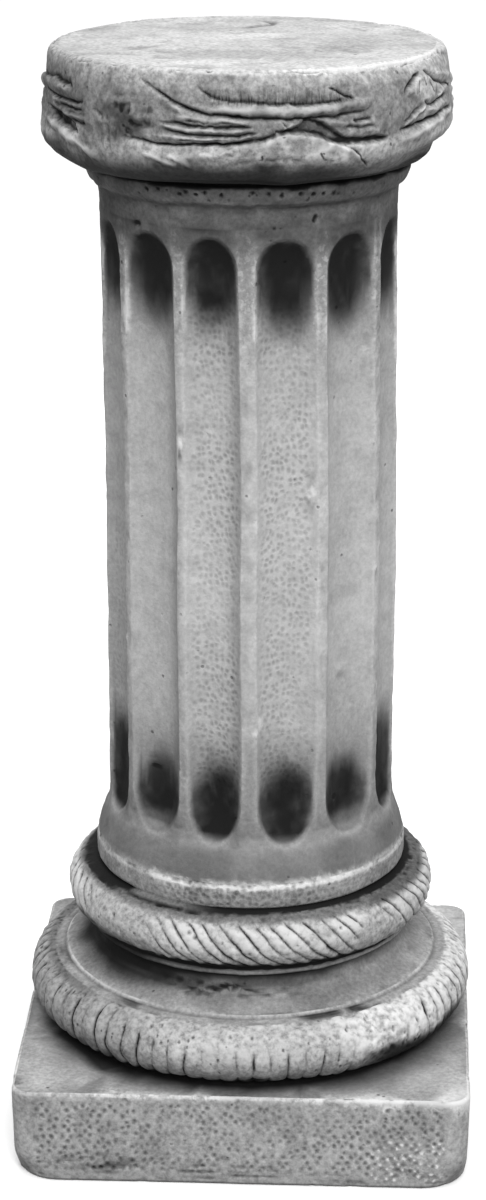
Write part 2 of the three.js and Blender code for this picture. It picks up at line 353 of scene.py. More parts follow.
# black spray and painted shade under the rope, heaviest to the left
spray_and_shade = 0.95 * smooth(a, -10, -46) + 0.62 * smooth(a, -46, -16) * smooth(a, 40, 14) + 0.42 * smooth(a, 10, 36)
spray_and_shade = np.clip(spray_and_shade, 0, 0.95)
reach = 113.0 - 6.0 * smooth(a, -10, -46) + 2.0 * smooth(a, 0, 35)
fade = smooth(z + 1.2 * noisy(16, 16, sel), reach - 4.0, reach + 7.0)
wash = noise3(X0[sel], Y0[sel], Z0[sel] * 2.5, 13, 97)
# the scotia darker all over, and black in the undercut under the rope: painted shade
dark[sel] = np.maximum.reduce([0.27 + 0.13 * wash - 0.06 * smooth(a, 20, 45), spray_and_shade * fade * (0.93 + 0.16 * wash), smooth(z, 129.8, 130.8)])
fillet = bell((z - 128.4) / 1.3)
dark[sel] *= 1 - 0.45 * fillet * smooth(a, -60, -25) * np.clip(0.8 + 0.7 * noisy(14, 89, sel), 0, 1)
# painted shadow line below the fillet
dark[sel] = np.maximum(dark[sel], 0.88 * bell((z - 125.0) / 1.2) * smooth(a, 45, 20))
streaks = smooth(noise3(X0[sel], Y0[sel], Z0[sel] * 3.0, 8, 28) + 0.5 * noisy(2.6, 90, sel), 0.1, 0.7) * bell((a + 8) / 24) * smooth(z, 110, 113) * smooth(z, 122, 118)
dark[sel] = np.maximum(dark[sel], 0.8 * streaks + 0.35 * smooth(noisy(4, 91, sel), 0.0, 0.7) * smooth(np.abs(wrapped(a)), 70, 40))
pale[sel] = 0.06 * fillet * smooth(a, -50, -20) + 0.25 * smooth(z, 109, 107)

# =============================================================================
# Upper torus: rope strands, worn away in places
# =============================================================================
sel = zone("rope")
t_rope = np.degrees(np.arctan2(Z0[sel] - ROPE_Z, R0[sel] - ROPE_RING))
a, true_a = M[sel], A[sel]
STRANDS = 66
strand_at = wrapped(np.arange(STRANDS) * 360 / STRANDS + rng.uniform(-0.6, 0.6, STRANDS) + 1.4)
strand_s = rng.uniform(0.55, 1.2, STRANDS)
order = np.argsort(strand_at)
twist = 0.115 * t_rope - 0.0009 * np.minimum(t_rope, 0) ** 2
wander = 0.7 * noisy(22, 21, sel) + 0.35 * noisy(8, 20, sel)
crest, strength = lobes(wrapped(true_a + twist + wander), strand_at[order], strand_s[order], 0.7)
live = 1 - 0.97 * smooth(a, -66, -58) * smooth(a, -22, -38)
live *= 1 - 0.85 * bell((a - 43.5) / 5.0) - 0.6 * smooth(a, 32, 38) * smooth(a, 62, 52) * smooth(t_rope, 24, 5)
live *= 1 - 0.3 * smooth(a, -60, -66)
live *= smooth(t_rope + 7 * noisy(9, 29, sel), 62, 44) * np.clip(0.9 + 0.45 * noisy(13, 30, sel), 0.2, 1.2)
live = np.clip(live, 0, 1.2)
h = -(1 - crest) * 2.3 * strength * live
h += 0.5 * noisy(16, 22, sel) + 0.5 * noisy(6.5, 23, sel) + 0.4 * noisy(3.4, 38, sel)
rope_marks = [
    (-19.3, 158.6, 1.6, 1.2), (-17.2, 155.8, 1.3, 1.1), (-18.9, 161.2, 1.2, -0.8), (-0.4, 151.3, 1.8, -0.7),
    (-3.0, 149.2, 1.2, 0.9), (2.3, 150.4, 1.2, 0.9), (-0.3, 147.2, 1.4, 0.8), (29.0, 158.2, 1.2, 1.2),
    (-47.5, 156.5, 1.2, 0.9), (-52.5, 158.0, 1.6, 0.8), (8.5, 145.5, 1.5, -0.7), (9.6, 154.0, 1.1, -0.9),
]
rope_marks += [(rng.uniform(-180, 180), rng.uniform(140, 165), rng.uniform(0.6, 1.0), rng.uniform(0.4, 0.8)) for _ in range(60)]
dent(h, true_a, Z0[sel], rope_marks, 118.0)
relief[sel] = h
# Painted shade with black patina: dark between the strands, under the foot ring, on the underside, more so to the left
gap = (1 - crest) ** 1.6 * live * strength
shade_under_ring = 0.5 * smooth(t_rope + 6 * noisy(10, 24, sel), 46, 64)
shade_under_ring = np.maximum(shade_under_ring, 0.98 * smooth(a, -40, -60) * smooth(t_rope + 2.5 * noisy(10, 59, sel), 61, 68))
shade_under_ring = np.maximum(shade_under_ring, 0.25 * smooth(a, -50, -46) * smooth(a, -20, -28) * smooth(t_rope, 40, 60))
shade_under_ring = np.maximum(shade_under_ring, 0.6 * smooth(a, 30, 48) * smooth(t_rope + 6 * noisy(14, 25, sel), 34, 58))
dark[sel] = np.maximum.reduce([0.56 * gap, shade_under_ring, smooth(t_rope + 3 * noisy(6, 37, sel), -38, -56)])
left_underside_shade = 0.7 * smooth(a, -18, -60) * smooth(t_rope + 6 * noisy(20, 26, sel), -2, -40)
dark[sel] = np.maximum.reduce([dark[sel], left_underside_shade, 0.11 + 0 * a])
fleck[sel] = 0.4 * live * smooth(t_rope, -30, 0) * smooth(t_rope, 50, 36)
pale[sel] = (0.32 + 0.65 * crest * live) * smooth(t_rope, -35, 5) * smooth(t_rope, 60, 44) * np.clip(0.9 + 0.4 * noisy(16, 27, sel), 0, 1.2)

# =============================================================================
# Foot ring and flare
# =============================================================================
sel = zone("ring")
a, z = M[sel], Z0[sel]
face = smooth(z, 170.6, 172.0)
chip = smooth(noisy(11, 31, sel) + 0.5 * noisy(4.5, 32, sel), 0.15, 0.9)
shut = smooth(a + 1.5 * noisy(9, 59, sel), -50, -44) * smooth(a, -8, -30)
filled = bell((z - 169.2) / 1.1) * (0.6 * smooth(np.abs(wrapped(a)), 52, 34) + 1.1 * shut)  # the gap all but closes in front
relief[sel] = face * 0.3 * noisy(6, 33, sel) - 1.1 * chip * smooth(z, 181.5, 185.0) + 0.4 * noisy(30, 34, sel) + 2.0 * filled
# painted shade in the crevice under the foot ring and on the ring's lower face
dark[sel] = np.maximum(smooth(z, 171.2, 169.6) * (1 - 0.5 * shut), 0.3 * smooth(z + noisy(6, 39, sel), 176, 170.5))
dark[sel] = np.maximum(dark[sel], 0.24 + 0.12 * noisy(8, 55, sel))
shine = 0.35 + 0.65 * (smooth(a, -41, -37) * smooth(a, -22, -26) + smooth(a, -18, -13) * smooth(a, 48, 34)) + 0.3 * smooth(a, 40, 50) * smooth(a, 85, 65)
pale[sel] = smooth(z, 181.2, 183.4) * shine * (1.1 + 0.5 * noisy(6, 35, sel)) + 0.1 * face
dark[sel] *= 1 - 0.9 * np.clip(shine, 0, 1) * smooth(z, 181.2, 183.0)
fleck[sel] = 0.95 * smooth(z, 181.0, 183.6) * np.clip(shine, 0, 1)
pits[sel] = face * smooth(a, -38, -22) * smooth(a, 36, 18)
sel = zone("flare")
a, z = M[sel], Z0[sel]
relief[sel] = 0.3 * noisy(28, 36, sel) - 0.7 * smooth(noisy(11, 31, sel), 0.2, 0.9) * smooth(z, 189, 186.5)
shine = 0.35 + 0.65 * (smooth(a, -41, -37) * smooth(a, -22, -26) + smooth(a, -18, -13) * smooth(a, 48, 34)) + 0.3 * smooth(a, 40, 50) * smooth(a, 85, 65)
pale[sel] = 1.1 * shine * smooth(z, 188.2, 186.6)
fleck[sel] = 0.95 * smooth(z, 188.4, 187.0) * np.clip(shine, 0, 1)
dark[sel] = np.maximum(0.55 * bell((a + 74) / 9) * bell((z - 197) / 8), (0.46 + 0.08 * noisy(20, 40, sel)) * smooth(z, 217, 199) - 0.3 * smooth(z, 189, 187))

# =============================================================================
# Shaft: fillets and flutes, the ends scooped round
# =============================================================================
FILLETS = [-85.0, -56.4, -27.6, -0.9, 28.5, 58.2, 88.2]  # those that the viewer sees
back = np.linspace(88.2, 275.0, 7)[1:-1]
FILLET_HALF = [2.0, 1.9, 1.75, 2.9, 2.1, 1.9, 2.0]
fillets = wrapped(np.r_[FILLETS, back])
fillet_half = np.r_[FILLET_HALF, np.full(len(back), 2.1)]
fillet_half = fillet_half[np.argsort(fillets)]
fillets = np.sort(fillets)
FLUTE_DEPTH = 8.2
FLUTE_LOW, FLUTE_HIGH = 208.0, 597.5
END = 23.0

sel = zone("flare", "shaft", "collar")
a, z, am = A[sel], Z0[sel], M[sel]
g = np.r_[fillets[-1] - 360, fillets, fillets[0] + 360]
k = np.clip(np.searchsorted(g, a, side="right") - 1, 0, len(g) - 2)
gw = np.r_[fillet_half[-1], fillet_half, fillet_half[0]]
lo, hi = g[k] + gw[k], g[k + 1] - gw[k + 1]
centre, half = 0.5 * (lo + hi), 0.5 * (hi - lo)
bend = 0.35 * noise3(X0[sel], Y0[sel], Z0[sel], 90, 41)
s = (a + bend - centre) / half
jig = np.sin(k * 12.9898) * 43758.5453
jig = jig - np.floor(jig)  # each flute's own number from 0 to 1
top_end = FLUTE_HIGH + 2.0 * (jig - 0.5)
low_end = FLUTE_LOW + 2.5 * (jig - 0.4)
e_top = np.clip((z - (top_end - END)) / END, 0, None)
e_low = np.clip(((low_end + END * 1.25) - z) / (END * 1.25), 0, None)
n_end = 2.1
body = np.clip(1 - np.abs(s) ** n_end - e_top**n_end - e_low**2.1, 0, None)
flute = (body * body / (body + 0.06) * 1.06) ** 0.68
h = -FLUTE_DEPTH * flute
h += 0.22 * noise3(X0[sel], Y0[sel], Z0[sel], 34, 42) + 0.12 * noise3(X0[sel], Y0[sel], Z0[sel], 8, 43)
on_fillet = smooth(flute, 0.4, 0.05)
h += on_fillet * (0.35 * noise3(X0[sel], Y0[sel], Z0[sel], 13, 44) + 0.3 * noise3(X0[sel], Y0[sel], Z0[sel], 6, 50))
# drips and scars left by the mould
for ca, cz, ra, rz, up in [
    (-27.6, 470.0, 2.0, 5.0, 1.1), (-27.9, 460.0, 1.4, 2.0, -0.7), (24.6, 438.0, 2.2, 3.6, 0.9),
    (25.2, 450.5, 2.6, 1.1, -0.6), (53.6, 520.0, 3.4, 2.0, 0.9), (53.6, 534.0, 1.4, 2.0, 0.7),
    (-58.6, 333.0, 1.8, 2.2, 0.9), (57.0, 382.0, 1.8, 2.0, 0.9), (1.4, 285.0, 2.4, 2.2, 0.6),
    (3.4, 292.0, 1.6, 3.6, 0.6), (65.0, 380.0, 5.0, 1.2, -0.5), (41.5, 314.0, 4.0, 1.2, -0.5),
    (-45.0, 251.0, 3.0, 1.2, -0.7), (-47.0, 253.5, 3.0, 1.0, 0.6), (-46.5, 600.5, 3.2, 3.0, -1.6),
    (-46.5, 598.5, 1.6, 1.4, 1.2), (38.0, 233.0, 1.6, 1.8, -0.8), (34.0, 597.0, 3.5, 2.0, 0.7),
]:
    h += up * np.exp(-((wrapped(a - ca) * RAD * 92 / ra) ** 2) - ((z - cz) / rz) ** 2)
sel_relief = relief[sel] + h
relief[sel] = sel_relief
inside = smooth(flute, 0.04, 0.42)
# sprayed ends: hard against the scooped edge, feathered along the flute
off_to = folded(centre)
lean_s = s + np.interp(off_to, [-75, -42, -14, 14, 43, 75], [-0.04, -0.12, -0.14, -0.1, 0.16, 0.04])
outer = smooth(np.abs(off_to), 54, 66)
mid_two = smooth(np.abs(off_to), 36, 22)
feather = 4 * noise3(X0[sel], Y0[sel], Z0[sel], 30, 45)
down = top_end - z + feather
up_ = z - low_end + feather - 4 - 9 * smooth(np.abs(wrapped(centre)), 50, 68)
e_t = (np.abs((0.7 - 0.25 * outer) * lean_s * smooth(down, 10, 46)) ** 2.6 + (np.clip(down - 18, 0, None) / 45) ** 2.6) ** (1 / 2.6)
e_b = (np.abs((0.84 - 0.16 * mid_two - 0.34 * outer) * lean_s * smooth(up_, 10, 40)) ** 2.6 + (np.clip(up_ - 22, 0, None) / 34) ** 2.6) ** (1 / 2.6)
spray_top = smooth(e_t, 1.18, 0.42)
spray_low = smooth(e_b, 1.2, 0.4) * (0.12 + 0.88 * smooth(z - low_end, 0 - 6 * mid_two - 4 * outer, 20 - 8 * mid_two - 9 * outer))
# the spray thinner at the flute's sides and top edge, lightened there too as painted light on the lit wall
thin_spray_and_lit_wall = 1 - 0.24 * smooth(np.abs(lean_s), 0.35, 1.05) - 0.10 * smooth(down, 16, 2) * (z > 400)
blot = np.maximum(spray_top, 0.96 * spray_low) * inside * thin_spray_and_lit_wall * (0.97 + 0.08 * noise3(X0[sel], Y0[sel], Z0[sel], 9, 46) + 0.1 * noise3(X0[sel], Y0[sel], Z0[sel], 3.2, 58))
dark[sel] = np.maximum(dark[sel], blot)
# tone: painted shade up under the capital and on the left; darker towards the foot
tone = (0.54 + 0.1 * noise3(X0[sel], Y0[sel], Z0[sel] * 2.0, 12, 65)) * smooth(z, 572, 607) + 0.05 * smooth(am, -40, -75) + 0.19 * smooth(z, 246, 204)
dust = np.maximum(smooth(z, 515, 560) * smooth(z, 612, 590), smooth(z, 290, 262) * smooth(z, 206, 222))
# painted shade on the right walls of the left-hand flutes
tone = tone + 0.12 * smooth(s, 0.35, 0.8) * smooth(s, 1.03, 0.97) * smooth(off_to, 8, -10) * smooth(z, 600, 570)
tone = tone + 0.23 * dust * (1 - 0.5 * smooth(np.abs(s), 0.9, 0.97) * smooth(np.abs(s), 1.1, 1.0))
dark[sel] = np.maximum(dark[sel], tone)
arris = smooth(np.abs(s), 0.86, 0.97) * smooth(np.abs(s), 1.14, 1.02)
broken = 0.5 + 0.5 * noise3(X0[sel], Y0[sel], Z0[sel], 15, 47) + 0.3 * noise3(X0[sel], Y0[sel], Z0[sel], 5, 48)
pale_f = on_fillet * smooth(np.abs(s), 0.9, 1.02) * (0.05 + 0.12 * smooth(z, 490, 565) * smooth(z, 604, 592))
pale_f += 0.26 * arris * smooth(z, 220, 245) * smooth(broken, 0.4, 0.85)
pale_f += 0.75 * arris * smooth(z, 606, 596) * smooth(z, 480, 565) * smooth(broken, 0.45, 0.85)
pale[sel] = np.maximum(pale[sel], np.clip(pale_f * (0.5 + 0.9 * broken), 0, 1))
for ca, cz, ra, rz, p in [
    (-27.6, 470.0, 2.4, 3.4, 1.4), (24.6, 438.0, 2.8, 4.0, 1.2), (-58.6, 333.0, 2.0, 2.4, 0.8),
    (57.0, 382.0, 2.0, 2.2, 0.8), (1.6, 284.5, 3.0, 2.6, 1.2), (3.6, 292.0, 1.8, 4.0, 1.1),
    (53.6, 520.0, 3.0, 2.0, 0.5), (31.0, 209.0, 5.0, 1.6, 0.5),
]:
    pale[sel] = np.maximum(
        pale[sel], p * np.exp(-((wrapped(a - ca) * RAD * 92 / ra) ** 2) - ((z - cz) / rz) ** 2)
    )
fleck[sel] = np.maximum(fleck[sel], on_fillet * smooth(np.abs(s), 0.86, 0.96) * (0.06 + 0.5 * smooth(z, 505, 570) * smooth(z, 606, 594)))
grit[sel] = np.maximum(grit[sel], 0.4 * on_fillet * smooth(z, 480, 540) * smooth(z, 612, 600))
patch = 0.5 + 0.5 * noise3(X0[sel], Y0[sel], Z0[sel], 45, 49)
# painted light: lighter at mid height, facing the viewer and on the right, less on the right walls of the left-hand
# flutes
lift[sel] = bell((z - 394) / 104) * (0.5 + 0.45 * smooth(np.abs(am), 42, 26) + 0.3 * smooth(am, 44, 60)) * (1 - 0.45 * smooth(s, 0.35, 0.8) * smooth(off_to, 4, -8))
mid_flutes = smooth(np.abs(wrapped(a)), 30, 26) + 0.5 * smooth(a, -60, -68) * smooth(a, -110, -95) * smooth(z, 420, 380) + 0.1
pits[sel] = np.maximum(
    pits[sel],
    smooth(flute, 0.25, 0.6) * np.clip(mid_flutes, 0, 1) * smooth(z, 225, 262) * smooth(z, 572, 540) * (0.45 + 0.3 * smooth(patch, 0.2, 0.7)),
)

# =============================================================================
# Collar: bug holes, a bright lower edge, black paint and painted shade above
# =============================================================================
sel = zone("collar")
a, z, am = A[sel], Z0[sel], M[sel]
h = 0.2 * noisy(9, 51, sel) + 0.3 * noisy(30, 52, sel)
holes = [(-37, 623.5), (-31.8, 624), (-24, 621.8), (-21.6, 623.6), (-18, 622.6), (-14.8, 624), (-9, 622.4),
         (1.6, 624.4), (7, 623.8), (11.4, 622.5), (18, 623), (22.6, 621.8), (26.4, 622.4), (30.5, 621.6),
         (25.6, 608.8), (25.0, 606.4), (-13.5, 619.2), (-6.5, 619.4), (9.6, 602.9), (12.0, 602.0)]
holes += [(float(rng.uniform(60, 300)), float(rng.uniform(618, 625))) for _ in range(34)]
hole_mask = np.zeros(a.shape)
holes += [(float(rng.uniform(-42, 40)), float(rng.uniform(619.5, 624.5))) for _ in range(12)]
for n, (ca, cz) in enumerate(holes):
    cz = cz + 1.4 if cz > 612 else cz
    rad_mm = rng.uniform(1.5, 2.3) if n < 16 else rng.uniform(0.8, 1.3)
    d2 = (wrapped(a - ca) * RAD * 98) ** 2 + (z - cz) ** 2
    spot = (1.0 if n < 16 else 0.6) * np.exp(-d2 / rad_mm**2)
    h -= 0.8 * spot
    hole_mask = np.maximum(hole_mask, spot)
h += 0.35 * noisy(4.5, 54, sel) * smooth(z, 615, 618) * smooth(np.abs(wrapped(a)), 46, 34)
relief[sel] += h
# black paint and painted shade up under the capital
above = smooth(z + 1.5 * noisy(12, 53, sel) + 0.8 * noisy(5, 118, sel), 625.2, 629.4)
# painted shade: the neck darker on the left
neck = 0.13 + 0.28 * smooth(am, -35, -70) * smooth(z, 614, 619) + 0.12 * noisy(10, 56, sel)
# dark bug holes, and a painted shadow line under the bead
dark[sel] = np.maximum.reduce([dark[sel], above, 0.92 * hole_mask, neck, 0.58 * bell((z - 615.4) / 2.0) * smooth(np.abs(wrapped(a)), 64, 40) * np.clip(0.9 + 0.5 * noisy(18, 57, sel), 0, 1.2)])
pale[sel] = np.maximum(pale[sel], bell((z - 618.8) / 1.6) * (0.3 + 0.3 * bell((a + 4) / 22)))

# =============================================================================
# Capital: drapery carved in strokes. Each stroke is a line of (azimuth, height).
# =============================================================================
cap_rows = zone("capital")
CA, CZ, CM = A[cap_rows], Z0[cap_rows], M[cap_rows]
CX = CA * RAD * 122.0
cx0, cy0, cz0 = X0[cap_rows], Y0[cap_rows], Z0[cap_rows]


def cnoise(size, seed):
    return noise3(cx0, cy0, cz0, size, seed)


# a hand-worked surface: every line wavers a little
RX = CX + 0.75 * cnoise(7, 55) + 0.4 * cnoise(3.2, 56)
RZ = CZ + 0.75 * cnoise(7, 57) + 0.4 * cnoise(3.2, 58)
GRIT = 1 + 0.45 * cnoise(9, 59)
CARVE = 1.35
cap = np.zeros(CA.shape)
cut = np.zeros(CA.shape)


def curve(points, steps=7):
    p = np.array(points, float)
    if len(p) == 2:
        return p
    q = np.vstack([2 * p[0] - p[1], p, 2 * p[-1] - p[-2]])
    out = []
    t = np.linspace(0, 1, steps, endpoint=False)[:, None]
    for i in range(1, len(q) - 2):
        p0, p1, p2, p3 = q[i - 1 : i + 3]
        out.append(
            0.5 * (2 * p1 + (p2 - p0) * t + (2 * p0 - 5 * p1 + 4 * p2 - p3) * t**2 + (3 * p1 - p0 - 3 * p2 + p3) * t**3)
        )
    return np.vstack(out + [q[-2][None]])


def measure(line, reach):
    """Distance to a line, its sign (+ to the left of the line's run), how far along (0 to 1), and where."""
    xy = line * np.array([RAD * 122.0, 1.0])
    c = (np.abs(CX[0] - 0.5 * (xy[:, 0].min() + xy[:, 0].max())) < 0.5 * np.ptp(xy[:, 0]) + reach).nonzero()[0]
    r = (np.abs(CZ[:, 0] - 0.5 * (xy[:, 1].min() + xy[:, 1].max())) < 0.5 * np.ptp(xy[:, 1]) + reach).nonzero()[0]
    if len(c) == 0 or len(r) == 0:
        return None
    where = np.ix_(r, c)
    px, pz = RX[where], RZ[where]
    best = np.full(px.shape, 1e9)
    side = np.zeros(px.shape)
    along = np.zeros(px.shape)
    lengths = np.r_[0, np.cumsum(np.hypot(*np.diff(xy, axis=0).T))]
    for i in range(len(xy) - 1):
        ax, az_ = xy[i]
        dx, dz = xy[i + 1] - xy[i]
        ll = dx * dx + dz * dz + 1e-12
        t = np.clip(((px - ax) * dx + (pz - az_) * dz) / ll, 0, 1)
        ex, ez = px - ax - t * dx, pz - az_ - t * dz
        d = np.hypot(ex, ez)
        closer = d < best
        best = np.where(closer, d, best)
        side = np.where(closer, np.sign(dx * ez - dz * ex), side)
        along = np.where(closer, (lengths[i] + t * math.sqrt(ll)) / lengths[-1], along)
    return best, side, along, where


def taper(along, ends=0.16):
    return smooth(along, -0.02, ends) * smooth(along, 1.02, 1 - ends)


def shifted(points, turn, flip):
    p = np.array(points, float)
    if flip:
        p = p * [-1, 1] + [2 * 4.0, 0]
    return p + [turn, 0]


def stroke(points, width, height, kind="ridge", blacken=0.0, place=(0.0, False)):
    line = curve(shifted(points, *place))
    m = measure(line, 3.2 * width + (22 if kind in ("under", "over") else 3))
    if m is None:
        return
    d, side, along, where = m
    if kind == "ridge":
        f = np.exp(-((d / width) ** 2))
    elif kind == "cut":
        f = np.exp(-((d / width) ** 1.3))
    else:  # a fold's edge: steep on one side of the line, easing off on the other
        sign = side if kind == "over" else -side
        if place[1]:
            sign = -sign
        signed = d * sign
        f = smooth(signed, -0.7, 0.7) * np.exp(-np.clip(signed, 0, None) / width)
    f = f * taper(along) * GRIT[where]
    cap[where] += CARVE * height * f
    # blacken darkens the carved line: black patina and painted shade
    if blacken:
        cut[where] = np.maximum(cut[where], blacken * np.exp(-((d / (0.8 * width if kind in ("cut", "ridge") else 1.5)) ** 2)) * taper(along))


def area(points, height, soft, blacken=0.0, place=(0.0, False)):
    """A raised or sunk patch with a soft edge."""
    p = shifted(points, *place)
    line = np.vstack([p, p[:1]])
    m = measure(line, 3 * soft + 6)
    if m is None:
        return
    d, _, _, where = m
    px, pz = RX[where], RZ[where]
    xy = line * np.array([RAD * 122.0, 1.0])
    odd = np.zeros(px.shape, bool)
    for (x1, z1), (x2, z2) in zip(xy[:-1], xy[1:]):
        cross = ((z1 > pz) != (z2 > pz)) & (px < (x2 - x1) * (pz - z1) / (z2 - z1 + 1e-12) + x1)
        odd ^= cross
    signed = np.where(odd, d, -d)
    f = smooth(signed, -soft, soft)
    cap[where] += height * f * GRIT[where]
    # blacken: black patina and painted shade in the sunk patch
    if blacken:
        cut[where] = np.maximum(cut[where], blacken * f)


def front_swag(place):
    S = lambda *args, **kw: stroke(*args, place=place, **kw)
    # bare ground sunk above the upper roll
    S([(-14, 693), (-12, 687.5), (-7, 683.2), (0, 681.4), (10, 680.4), (20, 680.6), (29.5, 682.2)], 7.5, -2.7, "over", blacken=0.42)
    S([(22, 689.5), (26, 686), (30.5, 681.6)], 1.0, -1.3, "cut", blacken=0.75)
    # upper roll and the long crease below it
    S([(-17, 680.5), (-10, 678.4), (0, 677.6), (10, 677.1), (20, 677.4), (30, 679), (37, 681)], 3.1, 1.7)
    S([(-31, 695), (-27, 689.5), (-22, 684), (-17, 679.2), (-12, 676.2), (-5, 674.7), (5, 673.3), (15, 672.7), (25, 673.5), (35.5, 676)], 1.05, -2.8, "cut", blacken=0.85)
    S([(-26, 686), (-21, 680.5), (-16.5, 676.2)], 2.3, 1.5)
    # folds to the left
    S([(-22, 673.6), (-14, 672.4), (-5, 671.6), (4.5, 670.8)], 2.2, 1.1)
    S([(-24, 670), (-15, 668.7), (-6, 668.2), (1.5, 668.6)], 0.75, -2.3, "cut", blacken=0.75)
    S([(-25.5, 668.2), (-15, 666.7), (-4, 666.2), (3, 667.4)], 1.3, 1.5)
    S([(-22, 665.4), (-12, 663.4), (-4, 663.2), (3.4, 665)], 0.65, -2.1, "cut", blacken=0.65)
    S([(-27, 662.6), (-15, 661), (-6, 661.2), (4.4, 664)], 1.5, 1.2)
    S([(-34, 660.2), (-28, 657.6), (-20, 657.1), (-10, 657.9), (-3, 659), (3, 660.8), (6.6, 664), (7.6, 668), (7.2, 671.6)], 1.15, -3.0, "cut", blacken=0.85)
    S([(-18, 671.2), (-9, 670.2), (-1, 669.9)], 0.55, -1.1, "cut", blacken=0.4)
    S([(-20, 660.4), (-11, 659.8), (-2, 662.2)], 0.6, -1.3, "cut", blacken=0.5)
    S([(-33, 657.6), (-26, 655.2), (-18, 654.8), (-9, 655.6)], 3.0, -1.1, blacken=0.3)
    S([(9, 671.6), (11, 666.6)], 0.7, -1.0, "cut", blacken=0.5)
    S([(12.5, 670.8), (9.5, 666.2)], 0.9, 0.9)
    # the dark crevice and the folds to its right
    area([(15.4, 672.4), (19.2, 671.6), (21.4, 668.5), (24.3, 663.6), (27.4, 660.4), (32, 659.2), (38, 659.4), (41, 658.2), (40.4, 655.9),
          (33, 655.8), (27, 656.2), (23, 658.8), (19.5, 662.4), (15, 664.1), (9, 664.5), (7.4, 666), (11, 666.7), (13.8, 669)], -4.6, 1.3, blacken=0.72, place=place)
    S([(21.5, 671), (28, 668.3), (37, 667.6)], 2.0, 0.9)
    S([(29, 669.9), (35.5, 670.2)], 0.8, -1.6, "cut", blacken=0.6)
    S([(26.5, 666.8), (36.5, 665.6)], 0.8, -1.2, "cut", blacken=0.5)
    S([(27.5, 663.4), (38.5, 663)], 1.8, 0.9)
    # hem: a roll that humps up under the crevice
    S([(0.5, 659.6), (4, 661.6), (8.5, 663.4), (13, 664.3), (17, 663.5), (22, 658.8), (27, 654.6), (32, 648.5)], 8.0, 2.0, "under")
    S([(20, 661.6), (25, 656.4), (29, 652), (33, 646)], 1.0, 0.8)
    S([(29.6, 653.2), (31.6, 648.4), (34.8, 641.6)], 0.6, -1.3, "cut", blacken=0.7)
    S([(19, 653.4), (20.6, 648.6), (24.4, 646.4)], 0.6, -0.6, "cut", blacken=0.25)
    S([(3.6, 652), (3.8, 648.6)], 0.6, -0.9, "cut", blacken=0.6)
    S([(-6, 645.6), (2, 648.6), (8, 649.4), (16, 648)], 2.0, -0.9, "cut", blacken=0.2)
    S([(-30, 652), (-24, 648.4), (-19, 644.6)], 1.8, 1.0)
    S([(-22, 652), (-17.5, 648), (-15, 644)], 1.5, 0.9)
    S([(-16, 652.4), (-9, 652.2), (-3, 655)], 2.0, 0.8)


def left_knot(place):
    def S(points, width, height, kind="ridge", blacken=0.0):
        stroke(points, 1.2 * width, 0.75 * height, kind, 0.4 * blacken, place)

    S([(-41, 681.6), (-36, 683.6), (-31, 684.4)], 2.2, -0.6, "cut", blacken=0.3)
    S([(-47.4, 672.8), (-45, 672), (-43, 669.4), (-43.4, 666.6)], 1.4, -1.3, "cut", blacken=0.6)
    S([(-44.5, 667), (-43.2, 660), (-43.6, 653)], 1.4, -0.6, "cut", blacken=0.2)
    S([(-41.4, 668), (-40.2, 660), (-40.4, 650)], 1.2, -0.7, "cut", blacken=0.25)
    S([(-37.4, 666), (-37.8, 659), (-38.8, 650)], 1.3, -0.6, "cut", blacken=0.25)
    S([(-39, 661), (-41.6, 656), (-42, 650)], 1.4, 0.6)
    S([(-35.6, 661.4), (-33.6, 659), (-30, 660)], 1.8, -1.1, "cut", blacken=0.5)
    S([(-34, 669), (-31, 666.6), (-28, 666), (-25, 667.4)], 2.0, -1.2, "cut", blacken=0.6)
    S([(-36, 676), (-30, 671.6), (-25, 672)], 1.8, 0.9)
    S([(-40, 679), (-34, 675), (-27, 676)], 3.6, -0.9, "cut", blacken=0.35)


def left_swag(place):
    S = lambda *args, **kw: stroke(*args, place=place, **kw)
    S([(-88, 682.2), (-80, 683), (-73, 684), (-66, 685), (-60, 683.4), (-55, 681.4)], 6.5, -2.2, "over", blacken=0.85)
    S([(-88, 679.6), (-78, 680.4), (-66, 681.4), (-56, 679.2)], 2.4, 1.3)
    S([(-80, 677.4), (-72, 675.6), (-64, 674.7), (-56, 674.9), (-50, 675.8)], 1.1, -1.9, "cut", blacken=0.8)
    S([(-71, 672.8), (-62, 672.9), (-51, 672.6)], 1.5, 1.0)
    S([(-63, 670.8), (-57, 671.1), (-51, 670.4)], 0.9, -1.3, "cut", blacken=0.65)
    S([(-70, 671.6), (-63, 668.2), (-56, 666.2), (-49, 665.6)], 1.4, 1.2)
    S([(-64, 667.2), (-57, 663.7), (-49, 662.2)], 1.0, -1.8, "cut", blacken=0.7)
    area([(-72, 668), (-66, 666.8), (-60, 664.2), (-55, 661.4), (-53.4, 657.6), (-57, 657), (-62, 660), (-68, 663.6)], -3.6, 1.3, blacken=0.85, place=place)
    S([(-78, 662), (-68, 659.2), (-60, 655.4), (-51, 648.6), (-42, 643.4)], 2.4, 1.5)
    S([(-86, 676), (-78, 670), (-72, 664)], 1.2, -1.6, "cut", blacken=0.6)
    S([(-88, 668), (-80, 662), (-72, 657)], 2.0, 1.0)


